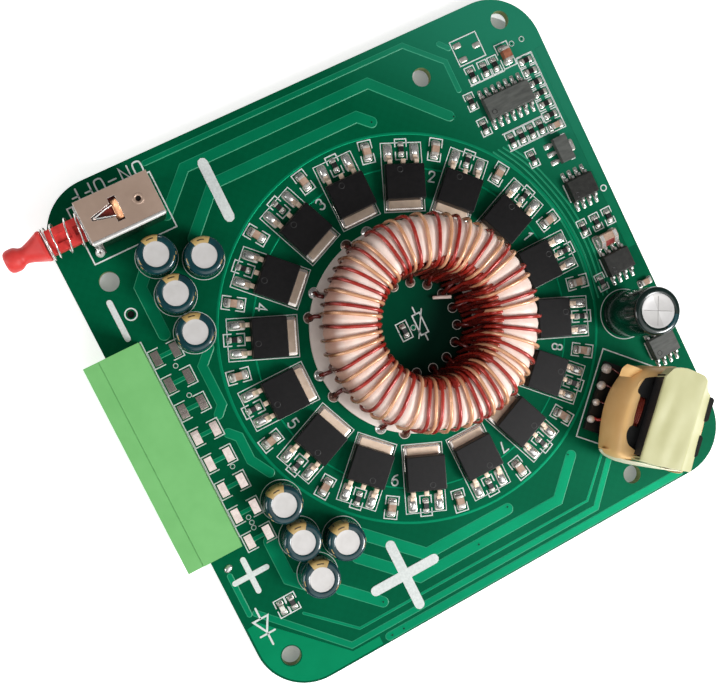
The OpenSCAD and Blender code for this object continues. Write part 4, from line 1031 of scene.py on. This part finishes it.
small = [(-30.6, 29), (-30.6, 22.25), (-30.6, 15.5), (-24, 25.6), (-30.4, -15.25), (-30.4, -22), (-30.4, -28.75), (-24.1, -25.4)]
BAND = [87, 81, 78, 78, 94, 84, 70, 88]
cans, tops, dash = Col(), Col(), Col()
for k, (x, y) in enumerate(small):
    turn = BAND[k]

    def band(a, turn=turn):
        d = (a - turn + 180) % 360 - 180
        return (lambda q: 1 if abs(d) < 30 and q < 8 else 0)

    lathe(cans, sleeve_profile(3.15, 5.2), x, y, 60, None, 0, True, band)
    lathe(tops, [(0.0, 5.1), (1.2, 5.105), (1.85, 5.1), (2.03, 5.13), (2.1, 5.12), (2.2, 5.0), (2.2, 4.2), (0.0, 4.2)], x, y, 48, None, 0, True)
    T = rot(x, y, turn)
    strip(dash, arc(0, 0, 2.55, -11, 11, 6), 0.2, 5.2, 5.232, 0.03, False, T)
    for e in (-125, 95):
        strip(dash, arc(0, 0, 2.78, e - 7, e + 7, 5), 0.26, 4.9, 5.16, 0.04, False, T, 1)
        strip(dash, arc(0, 0, 3.0, e + 13, e + 21, 4), 0.22, 4.7, 5.0, 0.04, False, T, 1)
    for e in (-1, 1):
        sheet(dash, lambda s, t, e=e: (3.165 * math.cos(math.radians(e * 16 - 2.2 + 4.4 * s)), 3.165 * math.sin(math.radians(e * 16 - 2.2 + 4.4 * s)), 2.3 + 1.9 * t), 3, 3, 0.03, T)
piece("small_sleeves_piece", cans, [SLEEVE, STRIPE], rep=("small_sleeves",), smooth=50)
piece("small_can_tops", tops, [CANTOP], rep=("small_cans",), smooth=40)
piece("small_band_marks", dash, [MARKS, STRIPE])
for node in ("small_bungs", "tall_bung"):
    paint(node, BUNG)
for node in ("small_leads", "tall_leads"):
    paint(node, LEAD)

tall, ttop = Col(), Col()
# painted reflection: a teal band on the dark sleeve, on the side towards the lamps
lathe(tall, sleeve_profile(4.0, 12.5), 37.25, -14.5, 72, None, 0, True, lambda a: (lambda q: 1 if abs((a - 300 + 180) % 360 - 180) < 24 else 0))
piece("tall_sleeve_piece", tall, [SLEEVE2, SLEEVE], rep=("tall_sleeve",), smooth=50)


# painted reflection: two opposite sectors of the tall can top are brighter, for the bow-tie sheen of its turned metal
def reflection_sector(a):
    d = (a - 118) % 180
    return lambda q: 1 if (d < 34 or d > 146) and q < 3 else 0


lathe(ttop, [(0.0, 12.385), (1.0, 12.39), (2.5, 12.385), (2.74, 12.44), (2.86, 12.43), (2.95, 12.2), (2.95, 11.2), (0.0, 11.2)], 37.25, -14.5, 72, None, 0, True, reflection_sector)
for g in (0, 90, 180, 270):
    T = rot(37.25, -14.5, 62 + g)
    strip(ttop, [(0.0, 0.0), (2.35, 0.0)], 0.14, 12.37, 12.4 + 0.002 * (g // 90), 0.04, False, T, 2)
piece("tall_can_top", ttop, [CANTOP3, CANTOP_REFLECTION, SCORE], rep=("tall_can",), smooth=40)

# ------------------------------------------------------------------ terminal header
refined("header_housing", [HEADER], bevel=0.12, segs=2)
refined("header_pins", [LEAD], bevel=0.1, segs=1)
hd = Col()
block(hd, -48.1, -46.9, -6.25, -5.95, 6.75, 6.84)
strip(hd, [(-48.25, -5.4), (-46.6, -5.4)], 0.16, 6.75, 6.84, 0.04)
for y in (9.2, -6.8):
    strip(hd, [(-48.3, y), (-45.2, y)], 0.1, 6.75, 6.815, 0.03)
piece("header_mould_mark", hd, [HEADER], bevel=0.03, segs=1)

# ------------------------------------------------------------------ push switch
# lit and shaded copies of the plated case by face direction: flat tops plain, upward bevels a bright painted highlight,
# the sides a darker mirror copy as painted shade
def case_light_pick(c, n):
    if c[2] > 9.3 and n.z > 0.8:
        return 0
    if n.z > 0.12 and c[2] > 8.9:
        return 1
    return 2


refined("switch_case", [CASE, CASE_HIGHLIGHT, CASE_SIDE_SHADE], bevel=0.26, segs=3, pick=case_light_pick)
paint("switch_base", BOBBIN)
refined("switch_terminals", [LEAD], bevel=0.05, segs=1)
for node in ("switch_contacts", "plunger_contact"):
    paint(node, COPPERY)
sw = Col()
CT, CX, CY = 9.5, -32.45, 37.25
# rolled front edge with its two end beads, and the bent corner below
# the rolled edge and its beads are drawn in the painted-highlight metal
tube(sw, [(CX - 5.75, CY - 3.42, CT - 0.22), (CX - 5.4, CY - 3.44, CT - 0.2), (CX, CY - 3.45, CT - 0.19), (CX + 5.4, CY - 3.44, CT - 0.2), (CX + 5.75, CY - 3.42, CT - 0.22)], 0.38, 12, False, 0)
lathe(sw, [(0.0, CT + 0.08), (0.22, CT + 0.05), (0.36, CT - 0.1), (0.38, CT - 0.4), (0.3, CT - 0.7), (0.0, CT - 0.8)], CX - 5.72, CY - 3.4, 16, None, 0, True)
lathe(sw, [(0.0, CT + 0.06), (0.2, CT + 0.03), (0.32, CT - 0.1), (0.34, CT - 0.4), (0.26, CT - 0.7), (0.0, CT - 0.8)], CX + 5.7, CY - 3.38, 16, None, 0, True)
# round foot at the front corner
lathe(sw, [(0.22, 0.86), (0.34, 0.98), (0.5, 1.0), (0.66, 0.86), (0.74, 0.6), (0.74, 0.02), (0.16, 0.02), (0.16, 0.7), (0.22, 0.86)], CX - 5.75, CY - 3.85, 26, None, 0, True)
# small steps on the plunger side of the far corner
block(sw, CX - 6.35, CX - 5.98, CY + 1.9, CY + 3.0, 5.6, 8.7, None, 0)
block(sw, CX - 6.2, CX - 5.98, CY - 3.1, CY + 3.1, 8.72, 9.06, None, 0)
# pressed dimple
lathe(sw, [(0.42, CT - 0.5), (0.42, CT - 0.08), (0.5, CT + 0.02), (0.66, CT + 0.06), (0.84, CT + 0.03), (0.94, CT - 0.02), (0.94, CT - 0.1), (0.52, CT - 0.14), (0.52, CT - 0.5), (0.42, CT - 0.5)], CX + 3.1, CY, 32, None, 1, True)
# painted shade: a dark disc at the bottom of the dimple
lathe(sw, [(0.0, CT - 0.3), (0.46, CT - 0.3), (0.46, CT - 0.45), (0.0, CT - 0.45)], CX + 3.1, CY, 20, None, 2, False)
piece("switch_edge_details", sw, [CASE_HIGHLIGHT, CASE, HOLE_SHADE_AND_BLACK], smooth=40)
# latch strip under the cut-out: bent copper tab at the far side, dark red carriage below it
la = Col()
sheet(la, lambda s, t: (CX - 1.02 + 0.1 * t + (1.0 - 0.1 * t) * s + 0.28 * s * math.sin(3.1 * t), CY - 1.62 + 3.1 * t, CT - 0.62 + 0.5 * s ** 1.5), 10, 10, 0.14, None, 0)
block(la, CX - 3.2, CX + 1.2, CY - 2.3, CY + 2.3, CT - 1.35, CT - 1.05, None, 1)
lathe(la, [(0.0, CT - 0.16), (0.2, CT - 0.2), (0.27, CT - 0.34), (0.27, CT - 0.9), (0.0, CT - 0.9)], CX - 4.15, CY, 14, None, 2, True)
for e in (-1, 1):
    tube(la, [(CX - 4.2, CY + e * 0.08, CT - 0.36), (CX - 3.2, CY + e * 0.3, CT - 0.34), (CX - 1.9, CY + e * 0.66, CT - 0.34), (CX - 0.9, CY + e * 0.84, CT - 0.5)], 0.13, 8, False, 2)
piece("switch_latch_piece", la, [COPPERY, WIRE_DARK_AND_SHADE, CASE_HIGHLIGHT], rep=("switch_latch",), bevel=0.04, segs=1, angle=50)

# plunger: turned knob and neck that widen to a squared seat, and the slotted shaft
pl = Col()
SECT = [(-51.4, 0.75, 2.0), (-51.36, 1.1, 2.0), (-51.22, 1.45, 2.05), (-50.95, 1.7, 2.1), (-50.55, 1.83, 2.15), (-49.8, 1.85, 2.2), (-49.4, 1.78, 2.15), (-49.05, 1.58, 2.1), (-48.75, 1.4, 2.05),
        (-48.45, 1.33, 2.0), (-48.1, 1.37, 2.05), (-47.6, 1.52, 2.2), (-46.9, 1.78, 2.6), (-46.2, 2.02, 3.2), (-45.7, 2.18, 4.0), (-45.45, 2.28, 5.0), (-45.3, 2.33, 6.0), (-44.95, 2.33, 6.0), (-44.9, 2.28, 6.0)]
NP = 48
v, f = [], []
for x, r, e in SECT:
    for j in range(NP):
        a = 2 * math.pi * (j + 0.5) / NP
        ca, sa = math.cos(a), math.sin(a)
        v.append((x, CY + math.copysign(abs(ca) ** (2 / e), ca) * r, 5.2 + math.copysign(abs(sa) ** (2 / e), sa) * r))
for i in range(len(SECT) - 1):
    for j in range(NP):
        q = (j + 1) % NP
        f.append((i * NP + j, i * NP + q, (i + 1) * NP + q, (i + 1) * NP + j))
f.append(tuple(range(NP)))
f.append(tuple((len(SECT) - 1) * NP + j for j in range(NP - 1, -1, -1)))
pl.put(v, f, None, 0, True)
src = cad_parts["plunger"].data
bm = bmesh.new()
bm.from_mesh(src)
bmesh.ops.remove_doubles(bm, verts=bm.verts, dist=2e-6)
cut = bmesh.ops.bisect_plane(bm, geom=bm.verts[:] + bm.edges[:] + bm.faces[:], plane_co=((-44.6 + SX) * 0.001, 0, 0), plane_no=(1, 0, 0), clear_inner=True)
bmesh.ops.holes_fill(bm, edges=[e for e in bm.edges if e.is_boundary], sides=0)
bmesh.ops.dissolve_limit(bm, angle_limit=0.005, verts=bm.verts, edges=bm.edges)
bmesh.ops.recalc_face_normals(bm, faces=bm.faces)
es = [e for e in bm.edges if len(e.link_faces) == 2 and e.calc_face_angle(0.0) > 0.6]
bmesh.ops.bevel(bm, geom=es, offset=0.00009, offset_type="OFFSET", segments=2, profile=0.6, affect="EDGES", clamp_overlap=True)
bm.verts.index_update()
pl.put([(p.co.x * 1000 - SX, p.co.y * 1000, p.co.z * 1000 - ZB) for p in bm.verts], [tuple(q.index for q in p.verts) for p in bm.faces], None, 0, False)
bm.free()
piece("plunger_piece", pl, [RED], body="push_plunger", rep=("plunger",), smooth=38)

sp = Col()
pts = []
x0, x1, mean, wr = -38.45 - 0.18, -44.9 + 0.18, 2.58, 0.14
TURN_AT = [0.0, 0.06, 0.36, 0.74, 0.93, 1.0]
steps = 240
for i in range(steps + 1):
    s = 5.0 * i / steps
    k = min(int(s), 4)
    e = TURN_AT[k] + (TURN_AT[k + 1] - TURN_AT[k]) * (s - k)
    a = 2 * math.pi * (s + 0.12)
    pts.append((x0 + (x1 - x0) * e, CY + mean * math.cos(a), 5.2 + mean * math.sin(a)))
tube(sp, pts, wr, 8)
spring = piece("return_spring_piece", sp, [SPRING], rep=("return_spring",))
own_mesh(spring)

# ------------------------------------------------------------------ transformer
paint("core_upper", FERRITE)
paint("core_lower", FERRITE)
refined("bobbin", [BOBBIN], bevel=0.12, segs=2)
refined("bobbin_pins", [LEAD], bevel=0.06, segs=1)
refined("transformer_winding", [WIRE_DARK_AND_SHADE], bevel=0.2, segs=2)
TT = rot(31.2, -31.6, 45)


def spline(tab, s):
    """Smooth curve through a table of points, s from 0 to 1."""
    n = len(tab) - 1
    q = min(max(s, 0.0), 1.0) * n
    k = min(int(q), n - 1)
    t = q - k
    p = [tab[max(k - 1, 0)], tab[k], tab[k + 1], tab[min(k + 2, n)]]
    return tuple(0.5 * (2 * b + (c - a) * t + (2 * a - 5 * b + 4 * c - d) * t * t + (3 * b - a - 3 * c + d) * t ** 3) for a, b, c, d in zip(*p))


# foot line and inner top line of the tape on the side that the photo shows
FOOT = [(-7.5, 3.0), (-7.58, 4.4), (-7.5, 5.5), (-7.1, 6.05), (-6.2, 6.35), (-5.0, 6.6), (-3.6, 6.9), (-2.2, 7.1), (-0.8, 7.25), (0.8, 7.3), (2.4, 7.12), (3.6, 6.85),
        (4.8, 6.5), (6.0, 6.05), (6.85, 5.5), (7.35, 4.5), (7.65, 3.2), (8.05, 1.8), (8.5, 0.5), (8.9, -0.5)]
LINE = [(-7.1, 2.9), (-6.5, 3.0), (-6.15, 3.9), (-5.75, 4.9), (-5.0, 5.55), (-4.0, 5.85), (-2.95, 5.7), (-2.35, 5.3), (-0.8, 5.42), (1.0, 5.5), (2.5, 5.5), (3.0, 6.05),
        (4.0, 6.4), (4.95, 6.1), (5.7, 5.3), (6.2, 4.2), (6.65, 3.1), (7.4, 1.75), (7.85, 0.8), (8.3, 0.0)]
BULGE = [(0.0, 2.45), (0.28, 3.4), (0.46, 4.8), (0.52, 6.2), (0.46, 7.6), (0.3, 8.7), (0.05, 9.5), (-0.35, 10.0), (-0.75, 10.2)]


def tape_skin_tan_shade(side, top):
    def fn(s, t):
        u, y = spline(FOOT, s)
        a, b = spline(FOOT, min(s + 0.01, 1.0)), spline(FOOT, max(s - 0.01, 0.0))
        du, dy = a[0] - b[0], a[1] - b[1]
        d = math.hypot(du, dy) or 1.0
        nu, ny = -dy / d, du / d
        if ny < 0 and abs(u) < 7:
            nu, ny = -nu, -ny
        if nu * u < 0 and abs(u) >= 7:
            nu, ny = -nu, -ny
        crease = 0.06 * math.sin(s * 23) * math.sin(t * 3.1)
        if t < 0.78:
            o, z = spline(BULGE, t / 0.78)
            return (u + nu * (o + crease), side * (y + ny * (o + crease)), z)
        o, z = BULGE[-1]
        e = (t - 0.78) / 0.22
        lu, ly = spline(LINE, s)
        pu, py = u + nu * o, y + ny * o
        return (pu + (lu - pu) * e, side * (py + (ly - py) * e), z + 0.1 * math.sin(e * 1.6) + crease * 0.3 * (1 - e))
    return fn if top else (lambda s, t: fn(s, t * 0.66))


tt = Col()
sheet(tt, tape_skin_tan_shade(1, True), 96, 34, 0.14, TT, 0)
far_skin = tape_skin_tan_shade(-1, False)
sheet(tt, lambda s, t: far_skin(0.15 + 0.63 * s, t), 64, 20, 0.14, TT, 0)
# curled corner and the small torn corner beside the pins
EAR_IN = [(6.9, 5.7, 9.1), (6.15, 6.15, 8.65), (5.4, 6.45, 8.0)]
EAR_OUT = [(6.95, 8.55, 8.9), (6.05, 9.05, 8.5), (4.85, 8.75, 7.7)]


def ear(s, t):
    a, b = spline(EAR_IN, s), spline(EAR_OUT, s)
    return tuple(a[k] + (b[k] - a[k]) * t + (0.55 * math.sin(3.1416 * t) if k == 2 else 0.0) for k in range(3))


sheet(tt, ear, 12, 12, 0.13, TT, 0)
EAR2 = [(-6.9, 6.25), (-7.3, 6.8), (-7.45, 7.3), (-7.35, 7.7)]
sheet(tt, lambda s, t: spline(EAR2, s) + (4.6 + 1.2 * s + (3.4 - 2.6 * s) * t,), 10, 5, 0.12, TT, 0)
# end cover that hangs over the low end; its paler tape is a painted highlight where its flared edge catches the light
LIP_IN = [(-7.4, 6.3, 6.4), (-7.98, 5.3, 7.2), (-8.08, 3.9, 8.8), (-7.9, 2.4, 10.4), (-7.74, 0.5, 10.7), (-7.5, -2.5, 10.7), (-7.05, -5.4, 10.3)]
LIP_OUT = [(-7.5, 6.5, 3.6), (-8.2, 5.3, 3.3), (-8.55, 3.5, 3.5), (-8.45, 1.9, 3.3), (-8.22, 0.0, 3.1), (-7.88, -2.6, 3.1), (-7.4, -5.5, 3.3)]


def lip(s, t):
    a, b = spline(LIP_IN, s), spline(LIP_OUT, s)
    return tuple(a[k] + (b[k] - a[k]) * t + (0.05 * math.sin(9.0 * s + 5.0 * t) * t if k == 0 else 0.0) for k in range(3))


sheet(tt, lip, 48, 16, 0.13, TT, 1)
piece("winding_tape_piece", tt, [TAPE_TAN_SHADE, TAPE_EDGE_HIGHLIGHT], rep=("winding_tape",), smooth=50)
# ends of the flange that stick out past the band
fl = Col()
for u0, u1 in ((2.0, 6.2), (-4.15, -0.4)):
    pts = [(u0, -5.2), (u1, -5.2), (u1, -7.1), (u1 - 0.35, -7.4), (u0 + 0.35, -7.4), (u0, -7.1)]
    prism(fl, pts, 9.55, 10.35, TT)
piece("bobbin_flange_ends", fl, [HOLE_SHADE_AND_BLACK], bevel=0.1, segs=2)
# soldered pins
ps = Col()
for k, u in enumerate((-3.05, 0.0, 3.05, 6.1)):
    for y in (-8.4, 8.4):
        pillow(ps, u, y + (0.05 if y > 0 else -0.05), (1.3, 1.25, 1.45, 1.75)[k], (1.35, 1.25, 1.6, 1.7)[k], (0.7, 0.75, 0.85, 0.9)[k], 30 * k, TT, n=18, e=2.4, rings=5, z=1.19, lean=(0.06, 0.04))
piece("pin_solder", ps, [PIN], smooth=60)

# pale band over the core: loop round the core and a loose skirt over the far side
LOOP = [(0.05, 0.42), (3.5, 0.42), (6.6, 0.42), (6.98, 0.5), (7.1, 0.9), (7.12, 4.0), (7.12, 8.0), (7.12, 11.4), (7.1, 12.4), (6.98, 12.82), (6.5, 12.93), (3.5, 12.95), (0.0, 12.95),
        (-3.5, 12.95), (-6.5, 12.93), (-6.98, 12.82), (-7.1, 12.4), (-7.12, 11.4), (-7.12, 8.0), (-7.12, 4.0), (-7.1, 0.9), (-6.98, 0.5), (-6.6, 0.42), (-3.5, 0.42), (-0.05, 0.42)]
ty = Col()


def core_loop(s, t):
    u, z = spline(LOOP, s)
    notch = min(max((u - 5.4) / 1.4, 0.0), 1.0) * min(max((z - 9.0) / 2.0, 0.0), 1.0)
    return (u, -3.56 + (7.12 - 1.5 * notch) * t, z)


sheet(ty, core_loop, 192, 10, 0.2, TT, 0)
piece("core_tape_piece", ty, [TAPE_Y], rep=("core_tape",), smooth=50)
ty = Col()
SKIRT = [(3.66, 12.9), (3.6, 13.2), (2.9, 13.31), (1.4, 13.3), (0.2, 13.34), (-1.2, 13.3), (-2.3, 13.33), (-3.1, 13.31), (-3.64, 13.2), (-4.05, 12.72), (-4.9, 11.75), (-5.9, 10.85), (-6.7, 10.25)]
SPAN = [(3.7, 6.4), (2.6, 8.3), (1.4, 8.75), (0.3, 8.95), (-1.9, 8.85), (-2.9, 8.75), (-4.0, 8.0), (-5.5, 6.8), (-7.2, 6.3)]


def upper_end(y):
    """Where the band ends at the upper side, for a place across it."""
    for (y0, u0), (y1, u1) in zip(SPAN, SPAN[1:]):
        if y >= y1:
            return u0 + (u1 - u0) * min(max((y0 - y) / (y0 - y1), 0.0), 1.0)
    return SPAN[-1][1]


def band_skin(s, t):
    y, z = spline(SKIRT, t)
    far = max(0.0, (-y - 2.5) / 4.2)
    lo = -7.66 + 0.95 * min(max((0.8 - y) / 7.5, 0.0), 1.0)
    hi = upper_end(y)
    y = y - 0.35 * far * (0.4 - (s - 0.45) * 1.8)
    wav = 0.05 * math.sin(s * 5.0 + y * 1.6) + 0.04 * math.sin(s * 11 + 1.0)
    if s < 0.1:
        e = 1 - s / 0.1
        return (lo + 0.0 - 0.06 * math.sin(e * 3), y, z - 0.25 * e - 2.6 * e * e * (1 - 0.5 * far))
    if s > 0.9:
        e = (s - 0.9) / 0.1
        return (hi + 0.05 * math.sin(e * 3), y, z - 0.25 * e - 2.4 * e * e * (1 - 0.5 * far))
    q = (s - 0.1) / 0.8
    return (lo + (hi - lo) * q, y, z + wav * math.sin(q * 3.1416))


sheet(ty, lambda s, t: band_skin(t, s), 44, 60, 0.12, TT, 0)
piece("core_tape_skirt", ty, [TAPE_Y], smooth=50)
# wire turns that show in the notch of the flange, and the wires to the pins
tw = Col()
for k in range(6):
    y = 3.75 + 0.32 * k
    tube(tw, [tuple(TT @ Vector((-2.35, y, 9.0))), tuple(TT @ Vector((-1.7, y, 9.38))), tuple(TT @ Vector((0.2, y + 0.03, 9.5 + 0.03 * (k % 2)))), tuple(TT @ Vector((2.1, y, 9.38))), tuple(TT @ Vector((2.45, y, 9.0)))], 0.2, 8)
for k, u in enumerate((-3.05, 0.0, 3.05, 6.1)):
    tube(tw, [tuple(TT @ Vector(p)) for p in ((u - 0.25, 8.75, 1.3), (u + 0.3, 8.5, 1.5), (u + 0.35, 8.1, 1.55), (u + 0.2, 7.5, 1.9), (u * 0.9 + 0.3, 6.7, 2.9))], 0.26 if k == 0 else 0.14, 8, False, 1 if k == 0 else 0)
piece("transformer_wires", tw, [WIRE_DARK_AND_SHADE, WIRE_R])

# ------------------------------------------------------------------ under the board
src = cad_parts["solder_joints"].data
bm = bmesh.new()
bm.from_mesh(src)
bmesh.ops.remove_doubles(bm, verts=bm.verts, dist=2e-6)
todo, joints = set(bm.verts), []
while todo:
    stack, island = [next(iter(todo))], []
    todo.discard(stack[0])
    while stack:
        p = stack.pop()
        island.append(p.co.copy())
        for e in p.link_edges:
            q = e.other_vert(p)
            if q in todo:
                todo.discard(q)
                stack.append(q)
    xs = [p.x * 1000 - SX for p in island]
    ys = [p.y * 1000 for p in island]
    zs = [p.z * 1000 - ZB for p in island]
    joints.append(((min(xs) + max(xs)) / 2, (min(ys) + max(ys)) / 2, (max(xs) - min(xs)) / 2, min(zs), max(zs)))
bm.free()
joints.sort()
cone, ringpads, low = Col(), Col(), Col()
for x, y, r, z0, z1 in joints:
    h = z1 - z0
    pin = 0.42 if r > 1 else 0.27
    prof = [(0.0, z0), (pin * 0.7, z0 + 0.01), (pin, z0 + 0.1)]
    prof += [(pin + (r - pin) * (k / 6) ** 2.2, z0 + 0.3 + (h - 0.33) * (k / 6) ** 0.85) for k in range(1, 7)]
    prof += [(r, z1 + 0.005), (0.0, z1 + 0.005)]
    lathe(cone, prof, x, y, 20, None, 0, True)
    annulus(ringpads, x, y, r * 0.6, r + 0.3, -1.6 - 0.05, -1.59, 24, ch=0.02)
piece("solder_joints_piece", cone, [SOLDER], rep=("solder_joints",), smooth=50)
piece("joint_pads", ringpads, [TIN])
ZU0, ZU1 = -1.6 - 0.045, -1.59


def low_strip(path, w, closed=False):
    strip(low, path, w, ZU0, ZU1, 0.0, closed, cap=8)


for k in range(16):
    a = math.radians(22.5 * k)
    low_strip([(RING[0] + 8.9 * math.cos(a), RING[1] + 8.9 * math.sin(a)), (RING[0] + 15.6 * math.cos(a + 0.1), RING[1] + 15.6 * math.sin(a + 0.1))], 1.6)
low_strip(circle(RING[0], RING[1], 24.5, 128), 6.5, True)
for i in range(9):
    y = 15.24 - 3.81 * i
    low_strip([(-39.0, y), (-35.5, y), (-33.0, y * 0.92), (-28.5, y * 0.85)], 1.5)
for off in (0, 3.2, 6.4):
    low_strip([(-22, -33 - off), (12 + off * 0.6, -33 - off), (18 + off * 0.5, -28 - off)], 1.9)
    low_strip([(-18, 33.2 + off), (10, 33.2 + off), (16, 30.4 + off)], 1.9)
piece("tracks_under", low, [TRACE])


# ------------------------------------------------------------------ floor, light and camera
fl = bpy.data.meshes.new("floor")
S = 3.0
n = 24
bm = bmesh.new()
bmesh.ops.create_grid(bm, x_segments=n, y_segments=n, size=S)
bm.to_mesh(fl)
bm.free()
floor = bpy.data.objects.new("floor", fl)
floor.location = (0, 0, -0.00002)
scene.collection.objects.link(floor)
fm = mat("floor_white", (246, 246, 246), (250, 250, 250), scale=0.02, rough=(0.7, 0.8))
fb = fm.node_tree.nodes["Principled BSDF"]
fb.inputs["Emission Color"].default_value = (1, 1, 1, 1)
fb.inputs["Emission Strength"].default_value = 0.6
fl.materials.append(fm)
# painted shade: the patch under the board glows less than the floor, so the holes look dim
us = Col()
outline = []
for cx, cy, a0 in ((36, 36, 0), (-36, 36, 90), (-36, -36, 180), (36, -36, 270)):
    outline += arc(cx, cy, 7.0, a0, a0 + 90, 8)
prism(us, outline, -ZB - 0.02, -ZB - 0.008)
um = bpy.data.meshes.new("floor_under")
um.from_pydata([W(p) for p in us.v], [], us.f)
ud = mat("floor_under_painted_shade", (224, 222, 218), (232, 230, 226), scale=0.05, rough=(0.7, 0.8))
ub = ud.node_tree.nodes["Principled BSDF"]
ub.inputs["Emission Color"].default_value = (1, 1, 1, 1)
ub.inputs["Emission Strength"].default_value = 0.17
um.materials.append(ud)
uo = bpy.data.objects.new("floor_under", um)
scene.collection.objects.link(uo)

wd = bpy.data.worlds.new("studio")
scene.world = wd
wd.use_nodes = True
bg = wd.node_tree.nodes["Background"]
bg.inputs[0].default_value = (1.0, 1.0, 1.0, 1.0)
bg.inputs[1].default_value = 0.13


def area(name, loc, aim, size, power, color=(1, 1, 1)):
    d = bpy.data.lights.new(name, "AREA")
    d.shape = "RECTANGLE"
    d.size, d.size_y = size
    d.energy = power
    d.color = color
    o = bpy.data.objects.new(name, d)
    o.location = loc
    o.rotation_euler = (Vector(aim) - Vector(loc)).to_track_quat("-Z", "Y").to_euler()
    scene.collection.objects.link(o)
    return o


area("key", (0.20, -0.26, 0.30), (0.0, -0.003, 0.0), (0.14, 0.14), 1.5)
area("sky", (0.05, -0.29, 0.33), (0.02, -0.05, 0.0), (0.6, 0.30), 0.72)
area("panel", (0.03, -0.08, 0.30), (0.03, -0.08, 0.0), (0.26, 0.12), 0.09)
area("side", (-0.36, 0.08, 0.20), (0.0, 0.0, 0.0), (0.14, 0.30), 0.62)

cam = bpy.data.cameras.new("camera")
co = bpy.data.objects.new("camera", cam)
scene.collection.objects.link(co)
R = (0.87949161, -0.4411241, 0.17861699)
U = (0.44718804, 0.89441264, 0.00699175)
B = (-0.16284152, 0.0737262, 0.98389384)
P = (-0.032017, 0.013733, 0.16370)
co.matrix_world = Matrix(((R[0], U[0], B[0], P[0]), (R[1], U[1], B[1], P[1]), (R[2], U[2], B[2], P[2]), (0, 0, 0, 1)))
cam.sensor_width = 36
cam.lens = 49.372
cam.shift_x, cam.shift_y = 0.008975, 0.00889
cam.clip_start = 0.001
scene.camera = co
scene.view_settings.view_transform = "Standard"
